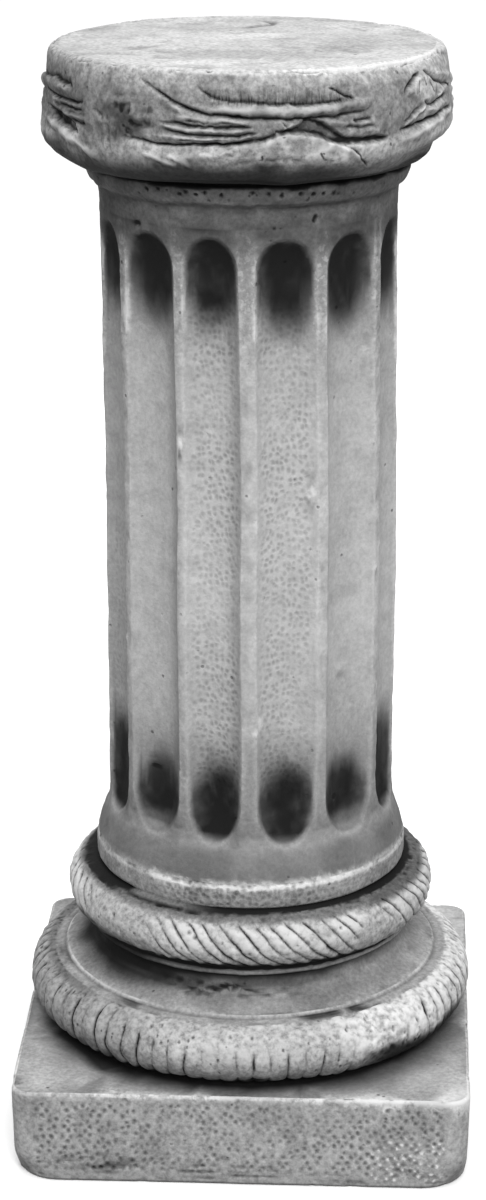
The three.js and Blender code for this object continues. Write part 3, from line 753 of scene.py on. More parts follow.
def right_leaf(place):
    S = lambda *args, **kw: stroke(*args, place=place, **kw)
    area([(49.4, 681), (52, 686), (57.4, 690.6), (63, 686), (66.4, 682), (63, 675), (56, 674)], 1.4, 2.0, place=place)
    S([(48.6, 680.4), (49.6, 684), (53, 688), (57, 692)], 1.15, -2.0, "cut", blacken=0.75)
    S([(58.4, 692.2), (63, 688), (67, 683.4), (72, 680.6), (81, 677)], 1.3, -2.4, "cut", blacken=0.85)
    S([(57.4, 689), (58, 682.6)], 0.6, -1.0, "cut", blacken=0.45)
    S([(55, 687), (54.4, 679.6)], 0.6, -0.9, "cut", blacken=0.4)
    S([(60.4, 686), (62.4, 678)], 0.6, -1.0, "cut", blacken=0.45)
    S([(65, 689), (74, 685), (84, 682.6)], 2.0, 1.3)
    S([(63, 674.6), (70, 677), (80, 680.4)], 1.5, 1.2)
    S([(56, 675.4), (59, 672.6), (64, 671.6), (75, 674.4)], 0.95, -1.7, "cut", blacken=0.7)
    S([(45.6, 662.4), (52, 667.2), (57.4, 672)], 1.4, 1.3)
    S([(46.4, 663.6), (51, 668.4), (55.6, 673)], 0.8, -1.0, "cut", blacken=0.4)
    S([(57, 669.6), (64, 668), (75, 670.2)], 1.4, 1.0)
    S([(44.6, 660.4), (50, 661.6), (57, 662.6), (66, 664.2), (78, 666.4)], 1.3, -2.7, "cut", blacken=0.9)
    S([(43.6, 655), (52, 656.2), (60, 659), (70, 662.2), (80, 665.4)], 2.6, 1.5)
    S([(41.6, 671.6), (42.2, 671.4)], 0.7, -1.2, "cut", blacken=0.8)


for part in (front_swag, left_knot, left_swag, right_leaf):
    part((0.0, False))
seen_cap, seen_cut = cap.copy(), cut.copy()
cap[:], cut[:] = 0, 0
for turn, flip in ((180.0, True), (-180.0, True), (90.0, False), (-90.0, True)):
    front_swag((turn, flip))
    left_knot((turn, flip))
cap *= 0.8
seen_cap *= 1 - 0.5 * smooth(np.abs(CA), 64, 80)
keep_seen = smooth(np.abs(CA), 92, 84)
cap = seen_cap * keep_seen + cap * (1 - keep_seen)
cut = seen_cut * keep_seen + cut * (1 - keep_seen)

# lumpy knots, worn rim, uneven hem
knots = 0.0
for at, reach in ((-35.0, 10.0), (54.0, 7.0), (144.0, 9.0), (-136.0, 9.0)):
    knots = knots + bell(wrapped(CA - at) / reach) * bell((CZ - 670) / 14) * (0.4 if at == 54.0 else 1.0)
eaten = knots * smooth(cnoise(6.5, 61) + 0.7 * cnoise(3.4, 62), -0.1, 0.9)
cap += knots * (0.8 * cnoise(12, 60) + 0.5 * cnoise(5, 78)) - 1.0 * eaten
wall = smooth(CZ, 636, 644) * smooth(CZ, 699.5, 696)
cap += 0.5 * cnoise(24, 63) + wall * (0.4 * cnoise(8, 64) + 0.3 * cnoise(4, 65))
wear = smooth(CZ, 688, 699) * (0.5 + 2.3 * smooth(CA, 8, 40) * smooth(CA, 85, 60) + 1.1 * cnoise(22, 66))
cap -= np.clip(wear, -0.5, None) * 1.1
cap -= 1.5 * smooth(CZ, 694, 699.5) * smooth(cnoise(9, 67) + 0.5 * cnoise(4, 68), 0.2, 0.8)
flat_top = smooth(CZ, 699.4, 699.95)
cap *= 1 - 0.7 * flat_top
seen_side = smooth(np.abs(CA), 135, 100)
cap -= 1.6 * bell((CA - 5) / 7) * smooth(CZ, 651, 644) * smooth(CZ, 632, 636)
cap += seen_side * (3.0 * smooth(CA, -50, -72) * bell((CZ - 648) / 7.5) - 5.0 * smooth(CA, 40, 70) * smooth(CZ, 654, 641) * smooth(CZ, 632, 637))
relief[cap_rows] += cap
hem_drop = 2.2 * smooth(CM, -10, -45) * smooth(CM, -88, -60) - 1.0 * smooth(CM, -60, -88) - 2.0 * smooth(CM, 35, 75) + 1.4 * cnoise(26, 69)
hem_drop *= smooth(CZ, 650, 636) * smooth(CZ, 631.9, 633.0)

# Painted shade: under the capital, beneath the hem's hump, along the hem, under the left tail, in the hollow above the
# upper roll and in the folds; the capital darker on the left
under = smooth(CZ + 0.8 * cnoise(9, 71), 637.5, 633.8)
fold_shade = 0.85 * bell((CA - 5) / 8) * smooth(CZ + 1.5 * cnoise(7, 98), 651, 642)
hem_shade = 0.8 * smooth(CZ + 2.5 * cnoise(14, 70) + 1.2 * cnoise(5, 96), 654, 639) * (1 - 0.55 * smooth(CM, 18, 46))
left_tail_shade = 0.75 * smooth(CM, -50, -64) * smooth(CZ + 3 * cnoise(10, 76), 657, 645)
smear = np.clip(0.55 + 0.9 * noise3(cx0, cy0, cz0 * 2.4, 9, 92) + 0.5 * cnoise(3.5, 93), 0, 1.3)
# a darker patch round the left knot and up the left side
left_dark_patch = bell((CM + 36) / 10.5) * bell((CZ - 669) / 14) * (0.43 + 0.55 * smear) + 0.35 * smooth(CM, -50, -68) * smooth(CZ, 680, 688) * smooth(CZ, 699, 692)
hollow = smooth(CM, -15, -7) * smooth(CM, 32, 26) * smooth(CZ, 695, 682) * smooth(CZ, 679.4, 681.4)
tone = (0.2 * smooth(CZ, 658, 664) * smooth(CZ, 694, 682) + 0.06) * (1 - 0.8 * smooth(CM, 42, 54))
tone = tone + (0.2 * smooth(cnoise(15, 73) + 0.6 * cnoise(6, 74), 0.0, 0.8) + 0.2 * smooth(cnoise(4, 94) + 0.6 * noise3(cx0, cy0, cz0 * 0.3, 2.6, 95), 0.0, 0.9)) * wall + 0.1 * smooth(CM, -20, -60)
high = smooth(cap, 0.4, 2.4)
fold_zone = smooth(CM, -38, -26) * smooth(CM, 46, 36) * smooth(CZ, 655, 659) * smooth(CZ, 684, 680) * (1 - high)
fold_zone = np.maximum(fold_zone, smooth(CM, -44, -54) * smooth(CZ, 654, 660) * smooth(CZ, 690, 684) * (1 - high))
dark[cap_rows] = np.maximum.reduce([
    0.32 * fold_zone * np.clip(0.85 + 0.4 * cnoise(8, 79), 0, 1.2),
    np.clip(cut * (0.62 + 0.38 * cnoise(5, 75)), 0, 0.78), under, fold_shade, hem_shade, left_tail_shade,
    np.clip(left_dark_patch + 0.35 * eaten, 0, 0.72), 0.15 * hollow, 0.38 * hollow * smooth(CZ, 687, 681.5), np.clip(tone, 0, 0.5),
])
hatch[cap_rows] = hollow
fleck[cap_rows] = np.clip(0.8 * smooth(CZ, 694, 698) * smooth(CA, 2, 22) * smooth(CA, 78, 58) + 0.35 * smooth(CZ, 696, 699) + 0.5 * smooth(cap, 0.9, 2.2), 0, 0.9)
# painted light: the right-hand wall lighter
pale[cap_rows] = np.clip(
    0.75 * high * smooth(CZ, 642, 648) + 0.2 * smooth(CA, 44, 54) * smooth(CA, 100, 88) * wall
    + (0.45 + 0.4 * smooth(CA, 5, 30) * smooth(CA, 80, 60)) * (1 - 0.4 * smooth(CM, -20, -45)) * smooth(CZ, 695.5, 699.0)
    + 0.34 * smooth(CZ, 641, 648) * smooth(CZ, 662, 655) * (1 - fold_shade) * smooth(CM, -70, -45),
    0, 1,
)

# top: nearly flat, trowelled along one way
sel = zone("top")
tx, ty = X0[sel] * math.cos(VIEW * RAD) + Y0[sel] * math.sin(VIEW * RAD), Y0[sel] * math.cos(VIEW * RAD) - X0[sel] * math.sin(VIEW * RAD)
h = 0.5 * noisy(45, 81, sel) + 0.3 * noise3(tx * 0.8, ty, Z0[sel], 16, 82) + 0.16 * noisy(7, 84, sel)
scar = np.zeros(tx.shape)
wx = tx + 6.0 * noisy(20, 121, sel) + 2.5 * noisy(8, 122, sel)
wy = ty + 6.0 * noisy(20, 123, sel) + 2.5 * noisy(8, 124, sel)
streak = smooth(noise3(tx * 0.5, ty, Z0[sel], 13, 125) + 0.6 * noisy(7, 126, sel), 0.15, 0.9)
h -= 0.4 * streak
for line, width, deep in [
    ([(4.9, 64), (9, 76), (13, 90)], 4.0, 1.3), ([(43, -17), (64, -46), (83, -43)], 2.4, 0.4),
    ([(-73, -28), (-62, -23), (-50, -18)], 3.0, 0.6), ([(-98, 44), (-88, 58), (-80, 70)], 4.0, 0.6),
    ([(34, 34), (80, 26)], 4.5, 0.25), ([(60, 60), (76, 48)], 3.0, 0.35), ([(-20, 84), (-44, 78)], 3.0, 0.3),
]:
    best = np.full(tx.shape, 1e9)
    for (x1, y1), (x2, y2) in zip(line[:-1], line[1:]):
        t = np.clip(((wx - x1) * (x2 - x1) + (wy - y1) * (y2 - y1)) / ((x2 - x1) ** 2 + (y2 - y1) ** 2), 0, 1)
        best = np.minimum(best, np.hypot(wx - x1 - t * (x2 - x1), wy - y1 - t * (y2 - y1)))
    groove = bell(best / width) * np.clip(0.7 + 0.9 * noisy(10, 85, sel), 0, 1.3)
    h -= deep * groove
    scar = np.maximum(scar, deep * groove)
relief[sel] = h - 0.6
pale[sel] = np.clip(0.45 + 0.3 * noisy(30, 83, sel) - 0.4 * scar - 0.25 * streak, 0, 1)
dark[sel] = np.clip(0.35 * scar + 0.07 * streak + 0.10 * smooth(noise3(tx * 0.8, ty, Z0[sel], 26, 86), 0.0, 0.8), 0, 0.6)
TOP_CEILING = HEIGHT

# =============================================================================
# Positions above the plinth
# =============================================================================
RR = R0 + norm_r[:, None] * relief
ZZ = Z0 + norm_z[:, None] * relief
ZZ[cap_rows] -= hem_drop
ZZ = np.minimum(ZZ, TOP_CEILING)
lean = np.interp(ZZ, [62, 150, 250, 400, 560, 700], [0.3, 0.6, 1.0, 1.0, -0.6, -LEAN])
upper = np.stack([RR * np.sin(phi) + lean, -RR * np.cos(phi), ZZ], -1)


# =============================================================================
# Plinth: rounded square, from the middle of the underside to the lower torus
# =============================================================================
def square(half, corner):
    u, v = np.abs(np.sin(phi)), np.abs(np.cos(phi))
    big, small = np.maximum(u, v), np.minimum(u, v)
    rho = half / big
    c = half - corner
    inside_corner = rho * small > c
    bend_ = c * (u + v) + np.sqrt(np.maximum((c * (u + v)) ** 2 - 2 * c * c + corner * corner, 0))
    return np.where(inside_corner, bend_, rho)


def quarter(n):
    t = np.linspace(0, 90, n, endpoint=False) * RAD
    return np.sin(t), np.cos(t)


plinth_rows, plinth_zone = [], []


def ring(rho, z, name, flatness=1.0):
    plinth_rows.append((rho, np.full(COLUMNS, float(z)), flatness))
    plinth_zone.append(name)


FOOT, EDGE, CORNER = 2.6, 2.5, 12.5
for f in np.linspace(0.02, 0.96, 12):
    ring(f * square(PLINTH_HALF - FOOT, 28.0), 0.0, "under", 0.0)
def low_corner(z):
    return CORNER + 17.0 * float(smooth(np.float64(z), 24.0, 0.0)) ** 1.5


for s_, c_ in zip(*quarter(6)):
    ring(square(PLINTH_HALF - FOOT * (1 - s_), low_corner(FOOT * (1 - c_)) - 1.5 * (1 - s_)), FOOT * (1 - c_), "side", s_)
for z in np.arange(FOOT, PLINTH_TOP - EDGE, 0.8):
    ring(square(PLINTH_HALF, low_corner(z)), z, "side")
for s_, c_ in zip(*quarter(7)):
    ring(square(PLINTH_HALF - EDGE * (1 - c_), CORNER - EDGE * 0.5 * (1 - c_)), PLINTH_TOP - EDGE + EDGE * s_, "side", 1.0)
contact = float(base_r[0])
inner = square(PLINTH_HALF - EDGE, CORNER - EDGE * 0.5)
for t in np.linspace(0, 1, 26, endpoint=False):
    ring(inner * (1 - t) + (contact + 0.2) * t, PLINTH_TOP, "ledge")

PR = np.array([p[0] for p in plinth_rows])
PZ = np.array([p[1] for p in plinth_rows])
PF = np.array([p[2] for p in plinth_rows])[:, None]
plinth_zone = np.array(plinth_zone)
PA = np.broadcast_to(az, PR.shape)


def draft(x, y, z):
    """The block narrows a little to the front and to the ground."""
    return x * (1 - 0.012 * (1 - y / PLINTH_HALF) - 0.010 * (1 - z / PLINTH_TOP) * (1 - y / PLINTH_HALF) * 0.5)


px, py = PR * np.sin(phi), -PR * np.cos(phi)
side = (plinth_zone == "side")[:, None]
ledge = (plinth_zone == "ledge")[:, None]


def pnoise(size, seed):
    return noise3(0.80 * px - 0.47 * py + 0.37 * PZ, 0.53 * px + 0.85 * py - 0.06 * PZ, 0.36 * py * 0.8 - 0.29 * px + 0.93 * PZ, size, seed)


bumpy = 0.35 * pnoise(40, 91) + 0.15 * pnoise(9, 92)
corner_edge = smooth(PZ, PLINTH_TOP - 9, PLINTH_TOP - 1) * side
chips = smooth(pnoise(10, 93) + 0.45 * pnoise(4, 94), 0.3, 0.95) * corner_edge
low_chips = smooth(pnoise(12, 95) + 0.4 * pnoise(4, 96), 0.25, 0.9) * smooth(PZ, 10, 2) * side
inward = np.clip(bumpy - 0.45, None, 0.0) * side * PF - 1.0 * chips - 1.2 * low_chips * PF
PR2 = PR + inward
PZ2 = PZ + np.clip(0.3 * pnoise(40, 97) - 0.3, None, 0.0) * ledge - 0.6 * chips * smooth(PZ, PLINTH_TOP - 3, PLINTH_TOP)
PZ2 = np.where(plinth_zone[:, None] == "under", 0.0, np.clip(PZ2, 0.0, PLINTH_TOP))
qx, qy = PR2 * np.sin(phi), -PR2 * np.cos(phi)
# casting pits in the front face: rows of dimples, each row set off half a step from the last
PIT_STEP, PIT_ROW = 6.4, 3.75
front_face = smooth(-py, PLINTH_HALF - 4.0, PLINTH_HALF - 2.5) * side
row_no = np.round((PZ - 2.0) / PIT_ROW)
pit_x, pit_z = px / PIT_STEP, PZ
dimple = np.zeros(PR.shape)
bead = np.zeros(PR.shape)
for dr in (-1, 0, 1):
    rn = row_no + dr
    shift = 0.5 * (rn % 2)
    cn = np.round(pit_x - shift)
    for dc in (-1, 0, 1):
        c2 = cn + dc
        ju = hashed(c2.astype(np.int64) + 500, rn.astype(np.int64) + 50, np.zeros(c2.shape, np.int64), 5)
        jv = hashed(c2.astype(np.int64) + 500, rn.astype(np.int64) + 50, np.ones(c2.shape, np.int64), 6)
        jd = 0.5 + 0.5 * hashed(c2.astype(np.int64) + 500, rn.astype(np.int64) + 50, np.full(c2.shape, 2, np.int64), 7)
        ex = px - (c2 + shift + 0.26 * ju) * PIT_STEP
        ez = PZ - (2.0 + (rn + 0.34 * jv) * PIT_ROW)
        spot = np.exp(-((ex / 1.65) ** 2 + (ez / 1.75) ** 2))
        dimple = np.maximum(dimple, spot * smooth(jd, 0.03, 0.3) * (0.6 + 0.4 * jd))
        off = np.exp(-(((ex - 0.5 * PIT_STEP) / 1.2) ** 2 + (ez / 1.2) ** 2))
        bead = np.maximum(bead, off * smooth(jd, 0.25, 0.6))
patchy = smooth(pnoise(46, 103), -1.0, -0.25)
pit_band = front_face * smooth(PZ, 5, 11) * smooth(PZ, PLINTH_TOP - 3.5, PLINTH_TOP - 8) * smooth(np.abs(px), 137, 131)
dimple *= pit_band * (0.35 + 0.65 * patchy)
bead *= front_face * smooth(px, 74, 96) * smooth(px, 140, 130) * smooth(PZ, 50, 24) * smooth(PZ, 2, 5)
brushed = smooth(noise3(px * 0.1, py, PZ, 2.2, 108) + 0.5 * pnoise(5, 113), -0.2, 0.8) * front_face * smooth(PZ, 26, 12) * smooth(PZ, 1, 4)
qy = qy + 0.75 * dimple * (1 - 0.5 * smooth(px, 80, 100) * smooth(PZ, 40, 24)) - 0.45 * bead + 0.35 * brushed
qx = draft(qx, qy, PZ2)
lower = np.stack([qx, qy, PZ2], -1)

pa = wrapped(PA)
out = PR - contact  # distance outside the torus's foot
at_left = smooth(pa, -4, -24) * smooth(pa, -86, -64)
# Painted shade on the ledge: a dark band round the torus's foot, its cast shadow to the right, broader shade to the
# left and behind
near = smooth(out + 3 * pnoise(18, 98), 15 + 10 * at_left, 1.5 + 4 * at_left)
cast_shadow_right = (0.42 * smooth(out + 3 * pnoise(30, 99), 29, 23) + 0.3 * smooth(out, 24, 4)) * smooth(pa, 2, 30) * smooth(pa, 90, 66)
shade_left_of_torus = 0.55 * smooth(out + 5 * pnoise(24, 100), 30, 6) * at_left
shade_behind_torus = 0.5 * smooth(out + 5 * pnoise(24, 101), 26, 4) * smooth(np.abs(pa), 86, 100)
p_dark = np.maximum.reduce([near, cast_shadow_right, shade_left_of_torus, shade_behind_torus]) * ledge
# painted shade along the foot of the sides
p_dark = np.maximum(p_dark, 0.45 * smooth(PZ, 4, 0.5) * side)
smear = bell((px + 86) / 21) * bell((PZ - 13) / 8) * (0.35 + 0.65 * smooth(noise3(px * 0.28, py, PZ, 3.4, 104) + 0.4 * pnoise(4, 114), -0.4, 0.5)) * front_face
p_dark = np.maximum.reduce([p_dark, 0.2 * dimple, 0.66 * smear, 0.36 * brushed, 0.14 * front_face * smooth(PZ, 24, 8), (0.05 + 0.13 * smooth(pnoise(16, 109) + 0.6 * pnoise(6, 110), -0.2, 0.8)) * side])
white_bead = smooth(bead, 0.3, 0.7)
p_dark = p_dark * (1 - white_bead)
p_dark = np.maximum(p_dark, 0.3 * side * smooth(np.maximum(np.abs(px), np.abs(py)), 146.5, 143.0) * smooth(PZ, 60, 54))
rim = smooth(PZ, PLINTH_TOP - 7, PLINTH_TOP - 1.5) * side
ragged = 4.0 * pnoise(14, 102) + 2.6 * pnoise(5, 105) + 1.4 * pnoise(2.6, 115)
p_dark = np.maximum(p_dark, (0.1 + 0.16 * smooth(pnoise(22, 111) + 0.7 * pnoise(7, 112), -0.3, 0.7)) * ledge * smooth(pa, 60, 30))
band = 1.2 * smooth(PZ + ragged, PLINTH_TOP - 7.0, PLINTH_TOP - 5.5) * side * smooth(px, 55, 72) * smooth(py, -120, -140)
band_top = smooth(PR - inner + ragged, -8, -4) * ledge * smooth(px, 60, 80) * smooth(py, -100, -125)
rim = smooth(PZ, PLINTH_TOP - 4.5, PLINTH_TOP - 1.0) * side
p_pale = rim * np.clip(0.45 + 0.55 * pnoise(9, 106) + 0.3 * pnoise(30, 107), 0, 1) * smooth(-py, 60, 130)
p_pale = np.maximum(p_pale, (0.2 + 0.35 * at_left * smooth(pnoise(26, 116) + 0.5 * pnoise(8, 117), -0.6, 0.5)) * ledge * smooth(out, 16, 40) * (1 - p_dark))
p_pale = np.maximum.reduce([p_pale, band, band_top, white_bead, 0.4 * ledge * smooth(inner - PR, 2.5, 0.5) * smooth(-py, 100, 135)])
p_fleck = np.maximum.reduce([0.9 * white_bead, 0.8 * band, 0.7 * band_top, 0.6 * rim * smooth(-py, 100, 135)])
p_fleck = np.maximum(p_fleck, 0.5 * front_face * smooth(PZ, 36, 20) * smooth(PZ, 2, 6) * smooth(px, 70, 100) * smooth(px, 142, 132))
p_pits = side * smooth(PZ, 6, 14) * smooth(PZ, PLINTH_TOP - 3, PLINTH_TOP - 10)
to_corner = np.minimum(np.abs(px), np.abs(py)) / np.maximum(np.abs(px), np.abs(py))
p_pits = p_pits * smooth(to_corner, 0.9, 0.8) * smooth(pnoise(48, 103), -0.75, 0.1) * (1 - front_face)

# =============================================================================
# One closed skin
# =============================================================================
P = np.concatenate([lower, upper])
all_zone = np.concatenate([plinth_zone, zones])
mask = {
    "dark": np.concatenate([p_dark * np.ones(PR.shape), dark]),
    "pale": np.concatenate([p_pale * np.ones(PR.shape), pale]),
    "pits": np.concatenate([p_pits * np.ones(PR.shape), pits]),
    "hatch": np.concatenate([np.zeros(PR.shape), hatch]),
    "fleck": np.concatenate([p_fleck * np.ones(PR.shape), fleck]),
    "lift": np.concatenate([np.zeros(PR.shape), lift]),
    "grit": np.concatenate([np.where(side, 0.75, 0.3) * np.ones(PR.shape), grit]),
}

d_around = np.roll(P, -1, 1) - np.roll(P, 1, 1)
d_up = np.gradient(P, axis=0)
N = np.cross(d_around, d_up)
N /= np.linalg.norm(N, axis=-1, keepdims=True) + 1e-12


def bulge(cols, steps):
    """How far each point stands out from its neighbours: + on ridges, - in creases."""
    up = np.concatenate([P[steps:], np.repeat(P[-1:], steps, 0)])
    down = np.concatenate([np.repeat(P[:1], steps, 0), P[:-steps]])
    around = 0.5 * (np.roll(P, cols, 1) + np.roll(P, -cols, 1))
    return np.sum((P - 0.5 * (0.5 * (up + down) + around)) * N, -1)


crease = np.clip(-bulge(2, 2) / 0.45, 0, 1)
ridge = np.clip(bulge(2, 2) / 0.35, 0, 1)
quiet = np.isin(all_zone, ["under", "top", "ledge"])[:, None]
mask["crease"] = np.where(quiet, 0, crease)
mask["ridge"] = np.where(quiet, 0, ridge) * np.where(np.isin(all_zone, ["shaft", "flare"]), 0.35, 1.0)[:, None]

rows_n = P.shape[0]
verts = np.concatenate([P.reshape(-1, 3), [[0, 0, 0]], [[-LEAN, 0, P[-1, :, 2].mean()]]]) / 1000.0
foot_i, head_i = len(verts) - 2, len(verts) - 1
i, j = np.meshgrid(np.arange(rows_n - 1), np.arange(COLUMNS), indexing="ij")
jn = (j + 1) % COLUMNS
quads = np.stack([i * COLUMNS + j, i * COLUMNS + jn, (i + 1) * COLUMNS + jn, (i + 1) * COLUMNS + j], -1).reshape(-1, 4)
cols = np.arange(COLUMNS)
nxt = (cols + 1) % COLUMNS
last = (rows_n - 1) * COLUMNS
fan_low = np.stack([np.full(COLUMNS, foot_i), nxt, cols], 1)
fan_top = np.stack([last + cols, last + nxt, np.full(COLUMNS, head_i)], 1)

me = bpy.data.meshes.new("column_stone")
me.vertices.add(len(verts))
me.vertices.foreach_set("co", verts.astype(np.float32).ravel())
loops = np.concatenate([quads.ravel(), fan_low.ravel(), fan_top.ravel()]).astype(np.int32)
sizes = np.concatenate([np.full(len(quads), 4), np.full(2 * COLUMNS, 3)])
me.loops.add(len(loops))
me.loops.foreach_set("vertex_index", loops)
me.polygons.add(len(sizes))
me.polygons.foreach_set("loop_start", np.r_[0, np.cumsum(sizes)[:-1]].astype(np.int32))
me.update(calc_edges=True)

for name, values in mask.items():
    attr = me.attributes.new(name, "FLOAT", "POINT")
    attr.data.foreach_set("value", np.r_[np.clip(values, 0, 1).ravel(), 0.0, 0.0].astype(np.float32))

# Two maps: one flat and unbroken for baking, one in metres for the casting pits.
step_len = np.linalg.norm(np.diff(P, axis=0), axis=-1).mean(1)
length = np.r_[0, np.cumsum(step_len)]
strip = ~np.isin(all_zone, ["under", "top"])
s0, s1 = length[strip][0], length[strip][-1]
flat_r = np.where(np.isin(all_zone, ["under", "side", "ledge"]), 170.0, np.where(np.isin(all_zone, ["low", "lip", "scotia"]), 130.0, 95.0))
face_zone = all_zone[:-1]
is_top = np.isin(face_zone, ["top"])
is_low = np.isin(face_zone, ["under"])

quad_i = np.stack([i, i, i + 1, i + 1], -1).reshape(-1)
quad_j = np.stack([j, j + 1, j + 1, j], -1).reshape(-1)
quad_face = np.repeat(np.stack([i], -1).reshape(-1), 4)
flat_verts = quads.reshape(-1)
xy = verts[flat_verts]
az_wrap = np.r_[az, 180.0]
u = 0.004 + 0.992 * (az_wrap[quad_j] + 180.0) / 360.0
v = 0.004 + 0.746 * (length[quad_i] - s0) / (s1 - s0)
top_face, low_face = is_top[quad_face], is_low[quad_face]
u = np.where(top_face, 0.13 + xy[:, 0] * 0.95, np.where(low_face, 0.40 + xy[:, 0] * 0.72, u))
v = np.where(top_face, 0.877 + xy[:, 1] * 0.95, np.where(low_face, 0.877 + xy[:, 1] * 0.72, v))
fan_xy_low, fan_xy_top = verts[fan_low.ravel()], verts[fan_top.ravel()]
bake = np.concatenate([
    np.stack([u, v], 1),
    np.stack([0.40 + fan_xy_low[:, 0] * 0.72, 0.877 + fan_xy_low[:, 1] * 0.72], 1),
    np.stack([0.13 + fan_xy_top[:, 0] * 0.95, 0.877 + fan_xy_top[:, 1] * 0.95], 1),
])

# along the plinth's sides the second map follows the straight faces
sx, sy = np.sin(phi), -np.cos(phi)
on_x = np.abs(sx) > np.abs(sy)
along_face = np.where(on_x, np.sign(sx) * sy / np.abs(sx), -np.sign(sy) * sx / np.abs(sy)) * PLINTH_HALF
face_no = np.where(on_x, np.where(sx > 0, 1, 3), np.where(sy < 0, 0, 2))
side_u = along_face + face_no * 2 * PLINTH_HALF
next_u = np.r_[side_u[1:], side_u[0]]
next_u = np.where(np.abs(next_u - side_u) > 100, side_u + 1.0, next_u)
is_side = np.isin(face_zone, ["side"])[quad_face]
col0 = np.repeat(j.reshape(-1), 4)
at_next = (quad_j != col0)
round_u = az_wrap[quad_j] * RAD * flat_r[quad_face]
pit_u = np.where(is_side, 0.72 * np.where(at_next, next_u[col0], side_u[col0]), round_u) / 1000.0
pit_v = np.where(is_side, 0.85 * P[np.minimum(quad_i, rows_n - 1), quad_j % COLUMNS, 2], length[quad_i]) / 1000.0
fan_n = len(fan_low) * 3 + len(fan_top) * 3
flat = np.concatenate([np.stack([pit_u, pit_v], 1), np.zeros((fan_n, 2))])

for name, values in (("OFBake", bake), ("Flat", flat)):
    layer = me.uv_layers.new(name=name, do_init=False)
    layer.uv.foreach_set("vector", values.astype(np.float32).ravel())
me.uv_layers.active = me.uv_layers["OFBake"]

column = bpy.data.objects.new("column_stone", me)
scene.collection.objects.link(column)
thin = column.modifiers.new("thin", "DECIMATE")
thin.ratio = TRIANGLES / (2 * len(quads) + 2 * COLUMNS)
thin.use_collapse_triangulate = True
depsgraph = bpy.context.evaluated_depsgraph_get()
thinned = bpy.data.meshes.new_from_object(column.evaluated_get(depsgraph), preserve_all_data_layers=True, depsgraph=depsgraph)
column.modifiers.clear()
column.data = thinned
bpy.data.meshes.remove(me)
thinned.name = "column_stone"
thinned.polygons.foreach_set("use_smooth", np.ones(len(thinned.polygons), bool))
thinned.update()
print("triangles", len(thinned.polygons), "attributes", [x.name for x in thinned.attributes if not x.name.startswith(".")])


# ============================================================================= Cast stone: grey, grainy, pitted, sprayed black in the recesses, rubbed pale, with painted shade and highlights
# Cast stone: grey, grainy, pitted, sprayed black in the recesses, rubbed pale
# =============================================================================
class Nodes:
    def __init__(self, name):
        self.mat = bpy.data.materials.new(name)
        self.mat.use_nodes = True
        self.tree = self.mat.node_tree
        self.tree.nodes.clear()

    def new(self, kind, **settings):
        n = self.tree.nodes.new(kind)
        for key, value in settings.items():
            setattr(n, key, value)
        return n

    def link(self, a, b):
        self.tree.links.new(a, b)

    def put(self, socket, value):
        if isinstance(value, (int, float)):
            socket.default_value = value
        else:
            self.link(value, socket)

    def math(self, op, a, b=None, c=None, clamp=False):
        n = self.new("ShaderNodeMath", operation=op, use_clamp=clamp)
        for socket, value in zip(n.inputs, (a, b, c)):
            if value is not None:
                self.put(socket, value)
        return n.outputs[0]

    def mix(self, factor, a, b):
        n = self.new("ShaderNodeMix", data_type="FLOAT", clamp_factor=True)
        self.put(n.inputs[0], factor)
        self.put(n.inputs[2], a)
        self.put(n.inputs[3], b)
        return n.outputs[0]

    def span(self, value, a, b, c=0.0, d=1.0):
        n = self.new("ShaderNodeMapRange", interpolation_type="SMOOTHSTEP")
        self.put(n.inputs[0], value)
        for socket, x in zip(n.inputs[1:5], (a, b, c, d)):
            socket.default_value = x
        return n.outputs[0]

    def noise(self, vector, scale, detail=2.0, rough=0.5):
        n = self.new("ShaderNodeTexNoise")
        self.link(vector, n.inputs["Vector"])
        n.inputs["Scale"].default_value = scale
        n.inputs["Detail"].default_value = detail
        n.inputs["Roughness"].default_value = rough
        return n.outputs[0]

    def attribute(self, name):
        return self.new("ShaderNodeAttribute", attribute_name=name).outputs["Fac"]


m = Nodes("cast_stone")
where = m.new("ShaderNodeTexCoord").outputs["Object"]
flat_map = m.new("ShaderNodeUVMap", uv_map="Flat").outputs[0]
n_wide = m.noise(where, 16.0, 3.0)
n_mid = m.noise(where, 85.0, 3.0)
n_fine = m.noise(where, 360.0, 3.0, 0.6)
n_grain = m.noise(where, 1100.0, 2.0, 0.6)
a_dark, a_pale, a_pits = m.attribute("dark"), m.attribute("pale"), m.attribute("pits")
a_crease, a_ridge = m.attribute("crease"), m.attribute("ridge")

# pits in loose rows
warp = m.new("ShaderNodeVectorMath", operation="MULTIPLY_ADD")
warp_noise = m.new("ShaderNodeTexNoise")
m.link(where, warp_noise.inputs["Vector"])
warp_noise.inputs["Scale"].default_value = 60.0
m.link(warp_noise.outputs["Color"], warp.inputs[0])
warp.inputs[1].default_value = (0.005, 0.005, 0.0)
m.link(flat_map, warp.inputs[2])
squash = m.new("ShaderNodeVectorMath", operation="MULTIPLY")
m.link(warp.outputs[0], squash.inputs[0])
squash.inputs[1].default_value = (1.0, 0.86, 1.0)
cells = m.new("ShaderNodeTexVoronoi", voronoi_dimensions="2D", feature="F1")
m.link(squash.outputs[0], cells.inputs["Vector"])
cells.inputs["Scale"].default_value = 255.0
cells.inputs["Randomness"].default_value = 0.7
pit = m.span(cells.outputs["Distance"], 0.56, 0.02)
pit = m.math("MULTIPLY", pit, a_pits)
pit = m.math("MULTIPLY", pit, m.span(n_mid, 0.2, 0.62, 0.25, 1.0))
